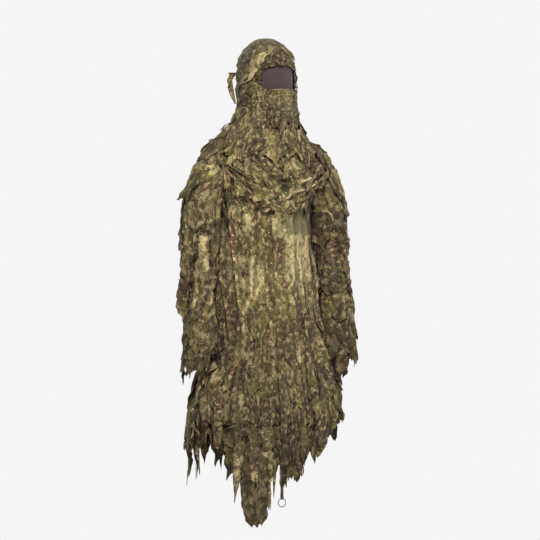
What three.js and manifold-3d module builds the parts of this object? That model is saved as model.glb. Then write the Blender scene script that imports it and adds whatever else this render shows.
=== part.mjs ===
// A hooded camouflage concealment coat, the kind a hunter or photographer wears over other clothes.
// Thin cloth shells stand for the cut panels, and flat cloth patches for the rags sewn on them.
// Everything is in millimetres. The origin is the base of the wearer's neck, between the shoulders.
// +X is the wearer's left, -Y the wearer's front and +Z up.
import * as THREE from 'three';
import { mergeVertices } from 'three/addons/utils/BufferGeometryUtils.js';
import Module from 'manifold-3d';

const wasm = await Module();
wasm.setup();

// ---- Driving dimensions ----
const CLOTH = 3.5;              // thickness of a panel with its lining net and sewn-on rags
const RAG = 2.5;                // thickness of a rag patch
const SEAM_GAP = 0.4;           // clearance between two panels at a seam
const AROUND = 32;              // facets round a body section

const HEM_Z = -820;             // where the coat's panels end and its hem rags carry on
const NECK_Z = 55;              // top of the coat's panels
const ZIP_TOP_Z = -40;          // top of the front zip, under the cowl
const FRONT_AT_ZIP_TOP = 100;   // how far the front stands forward there
const FRONT_SLOPE = 0.1;        // the front hangs forward in one straight line, so that the zip is straight

const HOOD_BOTTOM_Z = 62;
const HOOD_DOME_Z = 245;        // height where the hood is widest and its dome begins
const HOOD_DOME_HEIGHT = 102;
const HOOD_WIDE = { a: 86, f: 118, g: 106 };

const SHOULDER = { x: 190, z: -95 };   // the point a sleeve swings about
const SHOULDER_RADIUS = 66;
const SHOULDER_GAP = 1.2;
const SLEEVE_MOUTH_X = 150;     // plane in which the sleeve head opens into the coat
const SLEEVE_END_Z = -600;
const CUFF_LENGTH = 28;
const CUFF_RADIUS = 45;

// A section is an oval: half width a, front depth f and back depth g, all from the middle line.
const frontDepth = (z) => FRONT_AT_ZIP_TOP + FRONT_SLOPE * (ZIP_TOP_Z - z);
const section = (z, a, g, f = frontDepth(z)) => ({ z, a, f, g });

const COAT_SECTIONS = [
  section(HEM_Z, 228, 168),
  section(-700, 205, 152),
  section(-600, 178, 142),
  section(-400, 160, 130),
  section(-250, 150, 126),
  section(-170, 147, 124),
  section(-120, 172, 121),
  section(-60, 191, 115),
  section(-35, 189, 111),
  section(-12, 152, 106, 97),
  section(18, 112, 99, 94),
  section(NECK_Z, 86, 94, 92),
];

const HOOD_SECTIONS = [
  section(HOOD_BOTTOM_Z, 80, 95, 98),
  section(110, 80, 98, 110),
  section(180, 85, 104, 119),
  section(HOOD_DOME_Z, HOOD_WIDE.a, HOOD_WIDE.g, HOOD_WIDE.f),
];

// A sleeve hangs from the shoulder and comes forward at the wrist. x is for the wearer's left.
const SLEEVE_SECTIONS = [
  { z: SLEEVE_END_Z, x: 240, y: -36, r: 48 },
  { z: -500, x: 237, y: -20, r: 52 },
  { z: -400, x: 232, y: -8, r: 55 },
  { z: -280, x: 225, y: 0, r: 59 },
  { z: -170, x: 215, y: 0, r: 62 },
  { z: SHOULDER.z, x: SHOULDER.x, y: 0, r: SHOULDER_RADIUS - 1 },
];

// ---- Colours ----
const cloth = (color, roughness = 0.92) => ({ color, roughness, metalness: 0 });
const KHAKI = cloth(0x9a8c62);
const OLIVE = cloth(0x6c6a3e);
const TAN = cloth(0xb3a67c);
const BROWN = cloth(0x5a4630);
const GREY_GREEN = cloth(0x73775a);
const NET = cloth(0x4b4146, 0.85);
const ZIP_TAPE = cloth(0x4d4a35);
const ZIP_COIL = { color: 0x3a382b, roughness: 0.5, metalness: 0 };
const DARK_METAL = { color: 0x55554f, roughness: 0.4, metalness: 0.9 };
const STEEL = { color: 0x6e6e6c, roughness: 0.3, metalness: 1 };

const suit = new THREE.Group();

function add(name, geometry, look, parent = suit) {
  geometry.computeVertexNormals();
  const mesh = new THREE.Mesh(geometry, new THREE.MeshStandardMaterial(look));
  mesh.name = name;
  parent.add(mesh);
  return mesh;
}

// ---- Solids and cuts ----
function toSolid(geometry) {
  const bare = geometry.clone();
  bare.deleteAttribute('normal');
  bare.deleteAttribute('uv');
  const merged = mergeVertices(bare, 1e-4);
  return new wasm.Manifold(new wasm.Mesh({
    numProp: 3,
    vertProperties: new Float32Array(merged.attributes.position.array),
    triVerts: new Uint32Array(merged.index.array),
  }));
}

function toGeometry(solid) {
  const mesh = solid.getMesh();
  const geometry = new THREE.BufferGeometry();
  geometry.setAttribute('position', new THREE.BufferAttribute(new Float32Array(mesh.vertProperties), 3));
  geometry.setIndex(new THREE.BufferAttribute(new Uint32Array(mesh.triVerts), 1));
  return geometry;
}

function block(low, high) {
  const size = high.map((value, axis) => value - low[axis]);
  const geometry = new THREE.BoxGeometry(...size);
  geometry.translate(...high.map((value, axis) => (value + low[axis]) / 2));
  return toSolid(geometry);
}

function ball(x, z, radius) {
  const geometry = new THREE.SphereGeometry(radius, 28, 18);
  geometry.translate(x, 0, z);
  return toSolid(geometry);
}

// Closed mesh from rings of equal length, lowest first, each with its own centre for the end caps.
function stackRings(rings) {
  const count = rings[0].points.length;
  const positions = rings.flatMap((ring) => ring.points.flatMap((p) => [p.x, p.y, p.z]));
  const bottomCentre = positions.length / 3;
  const topCentre = bottomCentre + 1;
  const centres = [rings[0].centre, rings[rings.length - 1].centre];
  centres.forEach((c) => positions.push(c.x, c.y, c.z));
  const index = [];
  for (let k = 0; k < count; k++) {
    const next = (k + 1) % count;
    for (let row = 0; row + 1 < rings.length; row++) {
      const low = row * count;
      const high = low + count;
      index.push(low + k, low + next, high + next, low + k, high + next, high + k);
    }
    const top = (rings.length - 1) * count;
    index.push(bottomCentre, next, k, topCentre, top + k, top + next);
  }
  const geometry = new THREE.BufferGeometry();
  geometry.setAttribute('position', new THREE.Float32BufferAttribute(positions, 3));
  geometry.setIndex(index);
  return geometry;
}

// theta is 0 at the front and grows towards the wearer's left.
function ovalPoint({ a, f, g, z }, theta) {
  const depth = Math.cos(theta) > 0 ? f : g;
  return new THREE.Vector3(a * Math.sin(theta), -depth * Math.cos(theta), z);
}

function ovalRing(oval) {
  const points = [];
  for (let k = 0; k < AROUND; k++) {
    points.push(ovalPoint(oval, (2 * Math.PI * k) / AROUND));
  }
  return { points, centre: new THREE.Vector3(0, 0, oval.z) };
}

const inset = ({ z, a, f, g }, by) => ({ z, a: a - by, f: f - by, g: g - by });

function coatSolid(by, overrun) {
  const ovals = COAT_SECTIONS.map((oval) => inset(oval, by));
  ovals[0].z -= overrun;
  ovals[ovals.length - 1].z += overrun;
  return toSolid(stackRings(ovals.map(ovalRing)));
}

function hoodSolid(by, overrun) {
  const ovals = HOOD_SECTIONS.map((oval) => inset(oval, by));
  ovals[0].z -= overrun;
  const wide = inset({ z: HOOD_DOME_Z, ...HOOD_WIDE }, by);
  const domeSteps = 6;
  const lastAngle = 0.95 * (Math.PI / 2);
  for (let step = 1; step <= domeSteps; step++) {
    const angle = (lastAngle * step) / domeSteps;
    const shrink = Math.cos(angle);
    const z = HOOD_DOME_Z + (HOOD_DOME_HEIGHT - by) * Math.sin(angle);
    ovals.push({ z, a: wide.a * shrink, f: wide.f * shrink, g: wide.g * shrink });
  }
  return toSolid(stackRings(ovals.map(ovalRing)));
}

// The coat's and hood's outer surface at a height, let out by offset. Below the hem it hangs straight.
function skin(theta, z, offset) {
  const ovals = [...COAT_SECTIONS, ...HOOD_SECTIONS];
  const above = Math.min(Math.max(ovals.findIndex((oval) => oval.z >= z), 1), ovals.length - 1);
  const [low, high] = [ovals[above - 1], ovals[above]];
  const t = THREE.MathUtils.clamp((z - low.z) / (high.z - low.z), 0, 1);
  const mix = (key) => THREE.MathUtils.lerp(low[key], high[key], t) + offset;
  return ovalPoint({ z, a: mix('a'), f: mix('f'), g: mix('g') }, theta);
}

// A closed sheet of cloth. surface(u, v, offset) gives its points, u running with theta and v upwards.
function patch(surface, { uSteps, vSteps, inner, outer, ring = false }) {
  const columns = ring ? uSteps : uSteps + 1;
  const positions = [];
  for (const offset of [inner, outer]) {
    for (let row = 0; row <= vSteps; row++) {
      for (let column = 0; column < columns; column++) {
        const p = surface(column / uSteps, row / vSteps, offset);
        positions.push(p.x, p.y, p.z);
      }
    }
  }
  const side = columns * (vSteps + 1);
  const at = (layer, row, column) => layer * side + row * columns + (column % columns);
  const index = [];
  const quad = (p, q, r, s) => index.push(p, q, r, p, r, s);
  for (let column = 0; column < uSteps; column++) {
    const next = column + 1;
    for (let row = 0; row < vSteps; row++) {
      quad(at(1, row, column), at(1, row, next), at(1, row + 1, next), at(1, row + 1, column));
      quad(at(0, row, next), at(0, row, column), at(0, row + 1, column), at(0, row + 1, next));
    }
    quad(at(0, 0, column), at(0, 0, next), at(1, 0, next), at(1, 0, column));
    quad(at(1, vSteps, column), at(1, vSteps, next), at(0, vSteps, next), at(0, vSteps, column));
  }
  for (let row = 0; row < vSteps && !ring; row++) {
    quad(at(0, row + 1, 0), at(0, row, 0), at(1, row, 0), at(1, row + 1, 0));
    quad(at(1, row + 1, uSteps), at(1, row, uSteps), at(0, row, uSteps), at(0, row + 1, uSteps));
  }
  const geometry = new THREE.BufferGeometry();
  geometry.setAttribute('position', new THREE.Float32BufferAttribute(positions, 3));
  geometry.setIndex(index);
  return geometry;
}

// ---- Coat panels ----
const ZIP_GAP = 9;              // half the gap between the two front panels
const BIG = 2000;

function coatPanels() {
  let shell = coatSolid(0, 0).subtract(coatSolid(CLOTH, 5));
  for (const side of [-1, 1]) {
    shell = shell.subtract(sleeveSolid(side, -SHOULDER_GAP, 0));
  }
  const seam = SEAM_GAP / 2;
  const frontLeft = block([ZIP_GAP, -BIG, -BIG], [BIG, -seam, BIG]);
  const frontRight = block([-BIG, -BIG, -BIG], [-ZIP_GAP, -seam, BIG]);
  const back = block([-BIG, seam, -BIG], [BIG, BIG, BIG]);
  add('front_panel_left', toGeometry(shell.intersect(frontLeft)), KHAKI);
  add('front_panel_right', toGeometry(shell.intersect(frontRight)), KHAKI);
  add('back_panel', toGeometry(shell.intersect(back)), OLIVE);
}

// ---- Hood ----
const FACE = { halfWidth: 58, low: 106, high: 250, corner: 26 };
const GUSSET_HALF = 30;         // half width of the strip over the crown
const FACE_NET_MARGIN = 6;      // the net is sewn behind the edge of the face opening

function roundedWindow({ halfWidth, low, high, corner }) {
  const shape = new THREE.Shape();
  shape.moveTo(-halfWidth + corner, low);
  shape.lineTo(halfWidth - corner, low);
  shape.absarc(halfWidth - corner, low + corner, corner, -Math.PI / 2, 0);
  shape.lineTo(halfWidth, high - corner);
  shape.absarc(halfWidth - corner, high - corner, corner, 0, Math.PI / 2);
  shape.lineTo(-halfWidth + corner, high);
  shape.absarc(-halfWidth + corner, high - corner, corner, Math.PI / 2, Math.PI);
  shape.lineTo(-halfWidth, low + corner);
  shape.absarc(-halfWidth + corner, low + corner, corner, Math.PI, 1.5 * Math.PI);
  return shape;
}

// The window's outline, extruded through the front of the hood.
function faceCutter(grow) {
  const window = roundedWindow({
    halfWidth: FACE.halfWidth + grow,
    low: FACE.low - grow,
    high: FACE.high + grow,
    corner: FACE.corner + grow,
  });
  const geometry = new THREE.ExtrudeGeometry(window, { depth: 200, bevelEnabled: false, curveSegments: 4 });
  geometry.rotateX(Math.PI / 2);
  return toSolid(geometry);
}

function hoodPanels() {
  const whole = hoodSolid(0, 0).subtract(hoodSolid(CLOTH, 5));
  const shell = whole.subtract(faceCutter(0));
  const seam = SEAM_GAP / 2;
  const left = block([GUSSET_HALF + seam, -BIG, -BIG], [BIG, BIG, BIG]);
  const right = block([-BIG, -BIG, -BIG], [-GUSSET_HALF - seam, BIG, BIG]);
  const middle = block([-GUSSET_HALF, -BIG, -BIG], [GUSSET_HALF, BIG, BIG]);
  const underFace = block([-BIG, -BIG, -BIG], [BIG, 0, FACE.low + FACE.corner]);
  add('hood_side_left', toGeometry(shell.intersect(left)), OLIVE);
  add('hood_side_right', toGeometry(shell.intersect(right)), OLIVE);
  add('hood_crown_gusset', toGeometry(shell.intersect(middle).subtract(underFace)), KHAKI);
  add('hood_chin_band', toGeometry(shell.intersect(middle).intersect(underFace)), KHAKI);

  const netOuter = CLOTH + SEAM_GAP;
  const netLayer = hoodSolid(netOuter, 0).subtract(hoodSolid(netOuter + 1.5, 5));
  add('face_net', toGeometry(netLayer.intersect(faceCutter(FACE_NET_MARGIN))), NET);
}

// The veil buttons across the nose and mouth, outside the net, and swings on its left edge.
const VEIL = { reach: 58, low: 92, high: 182, inner: 4.5 };

function faceVeil() {
  const reach = THREE.MathUtils.degToRad(VEIL.reach);
  const surface = (u, v, offset) => {
    const theta = THREE.MathUtils.lerp(-reach, reach, u);
    return skin(theta, THREE.MathUtils.lerp(VEIL.low, VEIL.high, v), offset);
  };
  const geometry = patch(surface, { uSteps: 14, vSteps: 3, inner: VEIL.inner, outer: VEIL.inner + RAG });
  add('face_veil', geometry, TAN);
}

// ---- Cowl: the loose drape round the neck, deep in front, shallow on the shoulders ----
const COWL = {
  frontTop: 84, backTop: 46,
  frontBottom: -195, sideBottom: -4, backBottom: -120,
  offsetTop: 14, offsetBottom: 22,
};

function cowlHeight(theta, v) {
  const forward = Math.cos(theta);
  const top = THREE.MathUtils.lerp(COWL.backTop, COWL.frontTop, (forward + 1) / 2);
  const deepest = forward > 0 ? COWL.frontBottom : COWL.backBottom;
  const bottom = THREE.MathUtils.lerp(COWL.sideBottom, deepest, forward * forward);
  return THREE.MathUtils.lerp(bottom, top, v);
}

function cowlPart(name, middle, look) {
  const half = Math.PI / 2 - 0.004;
  const surface = (u, v, offset) => {
    const theta = middle + THREE.MathUtils.lerp(-half, half, u);
    const loose = THREE.MathUtils.lerp(COWL.offsetBottom, COWL.offsetTop, v);
    return skin(theta, cowlHeight(theta, v), loose + offset);
  };
  add(name, patch(surface, { uSteps: 18, vSteps: 6, inner: 0, outer: CLOTH }), look);
}

// ---- Sleeves ----
function roundRing({ x, y, z, r }, side, by) {
  const points = [];
  const facets = 24;
  for (let k = 0; k < facets; k++) {
    const angle = (2 * Math.PI * k) / facets;
    points.push(new THREE.Vector3(side * x + (r - by) * Math.cos(angle), y + (r - by) * Math.sin(angle), z));
  }
  return { points, centre: new THREE.Vector3(side * x, y, z) };
}

function sleeveSolid(side, by, overrun) {
  const sections = SLEEVE_SECTIONS.map((place) => ({ ...place }));
  sections[0].z -= overrun;
  const tube = toSolid(stackRings(sections.map((place) => roundRing(place, side, by))));
  return tube.add(ball(side * SHOULDER.x, SHOULDER.z, SHOULDER_RADIUS - by));
}

function sleeve(name, side) {
  const shell = sleeveSolid(side, 0, 0).subtract(sleeveSolid(side, CLOTH, 5));
  const outside = side > 0
    ? block([SLEEVE_MOUTH_X, -BIG, -BIG], [BIG, BIG, BIG])
    : block([-BIG, -BIG, -BIG], [-SLEEVE_MOUTH_X, BIG, BIG]);
  add(`sleeve_${name}`, toGeometry(shell.intersect(outside)), KHAKI);

  const wrist = SLEEVE_SECTIONS[0];
  const cuffTop = SLEEVE_END_Z - SEAM_GAP;
  const cuffPoint = (u, v, offset) => {
    const angle = 2 * Math.PI * u;
    const radius = CUFF_RADIUS + offset;
    return new THREE.Vector3(
      side * wrist.x + radius * Math.cos(angle),
      wrist.y + radius * Math.sin(angle),
      cuffTop - CUFF_LENGTH * (1 - v),
    );
  };
  add(`cuff_${name}`, patch(cuffPoint, { uSteps: 24, vSteps: 1, inner: -RAG, outer: 0, ring: true }), BROWN);
}

// ---- Front zip and the flap over it ----
// The zip's own axes: +Z up along it, -Y outwards from the chest, from the top of the zip.
const ZIP_LENGTH = 790;
const TAPE_Y = 7.5;               // depth of the tape's middle plane behind the coat's front surface
const TAPE = { inner: 4.8, outer: 22, half: 0.5 };
const COIL = { inner: 1.5, outer: 4.5, half: 1.5 };
const SLIDER = { half: 6.5, height: 15, plate: 1.2, clearance: 2, neckHalf: 1.1, neckHeight: 5 };
const SLIDER_REST = -14;        // height of the closed slider's middle
const BAIL = { halfLength: 6, post: 2, bar: 1.4, halfWidth: 1, rise: 4.6 };
const PULL = { half: 3.5, thick: 1.4, barTop: -2.2, barLow: -3.6, armInner: 1.9, armLow: -9, tip: -32 };
const FLAP = { free: -45, sewn: 45, gap: 13, top: -176, bottom: -778, edge: 3, foot: -1 };

const zipGroup = new THREE.Group();
zipGroup.position.set(0, -FRONT_AT_ZIP_TOP, ZIP_TOP_Z);
zipGroup.rotation.x = -Math.atan(FRONT_SLOPE);
suit.add(zipGroup);

function zipHalf(name, side) {
  const slab = (inner, outer, half, low, high) => {
    const [from, to] = side > 0 ? [inner, outer] : [-outer, -inner];
    return toGeometry(block([from, TAPE_Y - half, low], [to, TAPE_Y + half, high]));
  };
  add(`zip_tape_${name}`, slab(TAPE.inner, TAPE.outer, TAPE.half, -ZIP_LENGTH, 0), ZIP_TAPE, zipGroup);
  add(`zip_coil_${name}`, slab(COIL.inner, COIL.outer, COIL.half, -ZIP_LENGTH, 0), ZIP_COIL, zipGroup);
  const stopLow = SEAM_GAP;
  const stopHigh = stopLow + 4;
  add(`zip_top_stop_${name}`, slab(COIL.inner, TAPE.inner + 2, 2, stopLow, stopHigh), DARK_METAL, zipGroup);
}

function zipBottomBox() {
  const top = -ZIP_LENGTH - SEAM_GAP;
  const solid = block([-7, TAPE_Y - 2.5, top - 10], [7, TAPE_Y + 2.5, top]);
  add('zip_bottom_box', toGeometry(solid), DARK_METAL, zipGroup);
}

function zipSlider() {
  const { half, height, plate, clearance, neckHalf, neckHeight } = SLIDER;
  const faceY = TAPE_Y - clearance;
  const backY = TAPE_Y + clearance;
  const [low, high] = [-height / 2, height / 2];
  const front = block([-half, faceY - plate, low], [half, faceY, high]);
  const back = block([-half, backY, low], [half, backY + plate, high]);
  const neck = block([-neckHalf, faceY, high - neckHeight], [neckHalf, backY, high]);
  const bailFoot = faceY - plate;
  const bailTop = bailFoot - BAIL.rise;
  const bailOutside = block([-BAIL.halfWidth, bailTop, -BAIL.halfLength],
    [BAIL.halfWidth, bailFoot, BAIL.halfLength]);
  const bailInside = block([-BIG, bailTop + BAIL.bar, -BAIL.halfLength + BAIL.post],
    [BIG, bailFoot, BAIL.halfLength - BAIL.post]);
  const solid = front.add(back).add(neck).add(bailOutside.subtract(bailInside));
  const mesh = add('zip_slider', toGeometry(solid), DARK_METAL, zipGroup);
  mesh.position.z = SLIDER_REST;
}

function zipPull() {
  const face = TAPE_Y - SLIDER.clearance - SLIDER.plate;
  const back = face - 1.1;
  const front = back - PULL.thick;
  const plate = block([-PULL.half, front, PULL.tip], [PULL.half, back, PULL.barTop]);
  const window = block([-PULL.armInner, -BIG, PULL.armLow], [PULL.armInner, BIG, PULL.barLow]);
  const mesh = add('zip_pull', toGeometry(plate.subtract(window)), DARK_METAL, zipGroup);
  mesh.position.z = SLIDER_REST;
}

// The flap is an angle strip: it stands off the panel at its sewn edge and lies over the zip.
function zipFlap() {
  const { free, sewn, gap, edge, foot, top, bottom } = FLAP;
  const outline = new THREE.Shape();
  outline.moveTo(free, gap);
  outline.lineTo(sewn - edge, gap);
  outline.lineTo(sewn - edge, foot);
  outline.lineTo(sewn, foot);
  outline.lineTo(sewn, gap + edge);
  outline.lineTo(free, gap + edge);
  const geometry = new THREE.ExtrudeGeometry(outline, { depth: top - bottom, bevelEnabled: false });
  geometry.scale(1, -1, -1);
  geometry.translate(0, 0, top);
  add('zip_flap', geometry, BROWN, zipGroup);
}

// ---- Rags ----
// A rag is sewn along its top edge, hangs down the cloth and narrows to a ragged end.
function rag({ name, angle, width, top, bottom, offset, look, taper = 0.45 }) {
  const middle = THREE.MathUtils.degToRad(angle);
  const nearby = 0.01;
  const arc = skin(middle + nearby, top, 0).distanceTo(skin(middle - nearby, top, 0));
  const halfAngle = (width / arc) * nearby;
  const surface = (u, v, extra) => {
    const narrowed = halfAngle * (1 - taper * (1 - v) ** 1.5);
    const theta = middle + THREE.MathUtils.lerp(-narrowed, narrowed, u);
    return skin(theta, THREE.MathUtils.lerp(bottom, top, v), offset + extra);
  };
  add(name, patch(surface, { uSteps: 3, vSteps: 4, inner: 0, outer: RAG }), look);
}

// Rags sewn on the panels: angle round the body, width, top and bottom.
const PANEL_RAGS = [
  ['chest_rag_right', -42, 95, -215, -400, TAN],
  ['chest_rag_left', 46, 95, -205, -400, GREY_GREEN],
  ['waist_rag_right', -44, 105, -430, -620, OLIVE],
  ['waist_rag_left', 50, 105, -430, -620, TAN],
  ['hip_rag_right', -52, 120, -645, -810, BROWN],
  ['hip_rag_left', 54, 120, -645, -810, OLIVE],
  ['back_rag_upper_right', -142, 90, -170, -360, TAN],
  ['back_rag_upper_left', 142, 90, -170, -360, OLIVE],
  ['back_rag_middle', 180, 120, -380, -545, BROWN],
  ['back_rag_lower_right', -140, 120, -560, -790, OLIVE],
  ['back_rag_lower_left', 140, 120, -560, -790, TAN],
];
const PANEL_RAG_OFFSET = 4;

// Rags that carry the hem down, from the front round the wearer's left to the back and right.
const HEM_RAGS = [
  ['hem_rag_front_left', 3, 62, -1045, TAN],
  ['hem_rag_left_1', 20, 58, -1014, OLIVE],
  ['hem_rag_left_2', 37, 58, -915, KHAKI],
  ['hem_rag_left_3', 58, 70, -868, BROWN],
  ['hem_rag_left_4', 84, 62, -890, OLIVE],
  ['hem_rag_back_left_1', 112, 80, -960, TAN],
  ['hem_rag_back_left_2', 138, 84, -1030, OLIVE],
  ['hem_rag_back_middle', 166, 90, -985, KHAKI],
  ['hem_rag_back_right_1', -166, 84, -1060, BROWN],
  ['hem_rag_back_right_2', -138, 80, -1000, OLIVE],
  ['hem_rag_back_right_3', -113, 74, -1080, KHAKI],
  ['hem_rag_right_1', -86, 60, -905, OLIVE],
  ['hem_rag_right_2', -50, 74, -977, TAN],
];
const HEM_RAG_TOP = HEM_Z + 25;
const HEM_RAG_OFFSET = 1;
const FRONT_TAIL = { angle: -28, width: 66, bottom: -1159 };

function panelRags() {
  for (const [name, angle, width, top, bottom, look] of PANEL_RAGS) {
    rag({ name, angle, width, top, bottom, look, offset: PANEL_RAG_OFFSET });
  }
}

function hemRags() {
  for (const [name, angle, width, bottom, look] of HEM_RAGS) {
    rag({ name, angle, width, top: HEM_Z - SEAM_GAP, bottom, look, offset: HEM_RAG_OFFSET - RAG });
  }
  rag({ name: 'hem_tail_front', ...FRONT_TAIL, top: HEM_Z - SEAM_GAP, offset: HEM_RAG_OFFSET - RAG, look: KHAKI });
}

// Rags sewn round the outside of a sleeve, at a height, facing an angle from the wearer's side.
const SLEEVE_RAGS = [
  ['upper', 8, 90, -190, -330],
  ['elbow', -14, 84, -350, -470],
  ['fore', 12, 80, -480, -592],
];

function sleeveRags(name, side) {
  const centreAt = (z) => {
    const above = SLEEVE_SECTIONS.findIndex((place) => place.z >= z);
    const [low, high] = [SLEEVE_SECTIONS[above - 1], SLEEVE_SECTIONS[above]];
    const t = (z - low.z) / (high.z - low.z);
    const mix = (key) => THREE.MathUtils.lerp(low[key], high[key], t);
    return { x: mix('x'), y: mix('y'), r: mix('r') };
  };
  for (const [place, tilt, width, top, bottom] of SLEEVE_RAGS) {
    const surface = (u, v, offset) => {
      const z = THREE.MathUtils.lerp(bottom, top, v);
      const { x, y, r } = centreAt(z);
      const spread = (width / 2 / r) * (0.7 + 0.3 * v);
      const angle = THREE.MathUtils.degToRad(tilt) + THREE.MathUtils.lerp(-spread, spread, u);
      const radius = r + PANEL_RAG_OFFSET + offset;
      return new THREE.Vector3(side * (x + radius * Math.cos(angle)), y + radius * Math.sin(angle), z);
    };
    const geometry = patch(surface, { uSteps: 4, vSteps: 3, inner: 0, outer: RAG });
    if (side < 0) {
      turnFacesOver(geometry);
    }
    add(`sleeve_rag_${place}_${name}`, geometry, place === 'elbow' ? OLIVE : TAN);
  }
}

function turnFacesOver(geometry) {
  const index = geometry.index.array;
  for (let i = 0; i < index.length; i += 3) {
    [index[i + 1], index[i + 2]] = [index[i + 2], index[i + 1]];
  }
}

// ---- Hem ring: a split ring hung in a folded loop of rag, to hook the tail up with ----
const RING = { radius: 12.65, wire: 1.25, z: -1080 };
const RING_PLACE = { x: -32, front: 176 };
const LOOP = { width: 8, wall: 1.2, hole: 2.3, slot: 9 };

function hemRing() {
  const ring = new THREE.TorusGeometry(RING.radius, RING.wire, 8, 28);
  ring.rotateX(Math.PI / 2);
  const y = -RING_PLACE.front;
  ring.translate(RING_PLACE.x, y, RING.z);
  add('hem_ring', ring, STEEL);

  const top = RING.z + RING.radius;
  const half = LOOP.hole + LOOP.wall;
  const low = top - LOOP.hole - LOOP.wall;
  const left = RING_PLACE.x - LOOP.width / 2;
  const right = RING_PLACE.x + LOOP.width / 2;
  const strap = block([left, y - half, low], [right, y + half, top + LOOP.slot]);
  const slot = block([-BIG, y - LOOP.hole, top - LOOP.hole], [BIG, y + LOOP.hole, top + LOOP.slot - LOOP.wall]);
  const tail = block([left, y - LOOP.wall, top + LOOP.slot - LOOP.wall], [right, y + LOOP.wall, HEM_Z - SEAM_GAP]);
  add('ring_strap', toGeometry(strap.subtract(slot).add(tail)), KHAKI);
}

coatPanels();
hoodPanels();
faceVeil();
cowlPart('cowl_front', 0, OLIVE);
cowlPart('cowl_back', Math.PI, KHAKI);
for (const [name, side] of [['left', 1], ['right', -1]]) {
  sleeve(name, side);
  sleeveRags(name, side);
  zipHalf(name, side);
}
zipBottomBox();
zipSlider();
zipPull();
zipFlap();
panelRags();
hemRags();
hemRing();

export default suit;
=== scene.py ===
import math

import bpy
import numpy as np
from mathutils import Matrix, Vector


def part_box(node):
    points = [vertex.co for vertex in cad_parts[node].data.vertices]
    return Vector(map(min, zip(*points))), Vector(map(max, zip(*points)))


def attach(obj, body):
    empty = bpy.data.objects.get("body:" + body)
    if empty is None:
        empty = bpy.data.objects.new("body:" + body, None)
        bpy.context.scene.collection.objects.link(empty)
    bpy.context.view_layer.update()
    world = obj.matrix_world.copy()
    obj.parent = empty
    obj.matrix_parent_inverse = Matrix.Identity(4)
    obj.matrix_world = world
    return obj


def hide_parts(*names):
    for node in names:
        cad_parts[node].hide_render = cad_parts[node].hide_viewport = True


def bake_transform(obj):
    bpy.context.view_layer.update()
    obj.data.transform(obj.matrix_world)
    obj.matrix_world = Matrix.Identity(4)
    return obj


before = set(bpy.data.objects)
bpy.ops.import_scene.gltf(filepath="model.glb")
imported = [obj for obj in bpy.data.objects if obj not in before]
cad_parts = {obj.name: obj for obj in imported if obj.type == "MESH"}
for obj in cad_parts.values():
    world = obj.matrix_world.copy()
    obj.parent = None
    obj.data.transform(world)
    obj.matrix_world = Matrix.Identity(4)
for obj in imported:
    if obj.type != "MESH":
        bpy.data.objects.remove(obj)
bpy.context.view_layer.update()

# A hooded ghillie coat of thin printed cloth. Each cloth is a grid of points hung on the CAD model's
# surfaces, and its rags are cut strips that follow that grid downwards and then hang free below it.
# Metres; +X is the wearer's left, -Y the wearer's front and +Z up.

TURN = 2 * math.pi
SIDES = (("left", 1), ("right", -1))

# ---- Places taken from the frame ----
HEM_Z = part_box("back_panel")[0].z
COLLAR_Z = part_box("back_panel")[1].z
HOOD_BOTTOM_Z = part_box("hood_side_left")[0].z
CROWN_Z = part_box("hood_crown_gusset")[1].z
SLEEVE_END_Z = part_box("sleeve_left")[0].z
RING_LOW, RING_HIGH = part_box("hem_ring")
TAIL_LOW, TAIL_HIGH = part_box("hem_tail_front")
VEIL_LOW, VEIL_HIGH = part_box("face_veil")
FLAP_LOW, FLAP_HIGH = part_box("zip_flap")
HEM_NODES = [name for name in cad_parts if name.startswith("hem_rag")]

# ---- The coat's and hood's ovals: height, half width, back depth and front depth ----
ZIP_TOP_Z = -0.040
FRONT_AT_ZIP_TOP = 0.100
FRONT_SLOPE = 0.1


def front_depth(z):
    return FRONT_AT_ZIP_TOP + FRONT_SLOPE * (ZIP_TOP_Z - z)


COAT_OVALS = [
    (HEM_Z, 0.238, 0.157, front_depth(HEM_Z) - 0.004),
    (-0.720, 0.228, 0.152, front_depth(-0.720)),
    (-0.660, 0.202, 0.147, front_depth(-0.660)),
    (-0.600, 0.178, 0.142, front_depth(-0.600)),
    (-0.400, 0.160, 0.130, front_depth(-0.400)),
    (-0.250, 0.150, 0.126, front_depth(-0.250)),
    (-0.170, 0.149, 0.124, front_depth(-0.170)),
    (-0.120, 0.172, 0.121, front_depth(-0.120)),
    (-0.060, 0.191, 0.115, front_depth(-0.060)),
    (-0.035, 0.187, 0.111, front_depth(-0.035)),
    (-0.012, 0.152, 0.106, 0.097),
    (0.018, 0.112, 0.099, 0.094),
    (COLLAR_Z, 0.086, 0.094, 0.092),
]
HOOD_DOME_Z = 0.245
HOOD_OVALS = [
    (HOOD_BOTTOM_Z, 0.080, 0.095, 0.098),
    (0.110, 0.080, 0.098, 0.110),
    (0.180, 0.085, 0.104, 0.119),
    (HOOD_DOME_Z, 0.086, 0.106, 0.118),
]
GARMENT_OVALS = COAT_OVALS + HOOD_OVALS
NECK_OVALS = [
    (-0.045, 0.226, 0.140, 0.126),
    (-0.010, 0.204, 0.136, 0.122),
    (0.012, 0.164, 0.130, 0.119),
    (0.030, 0.134, 0.126, 0.117),
    (0.055, 0.116, 0.120, 0.115),
    (0.080, 0.102, 0.114, 0.115),
    (0.110, 0.091, 0.106, 0.116),
    (0.132, 0.084, 0.101, 0.117),
]

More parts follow.
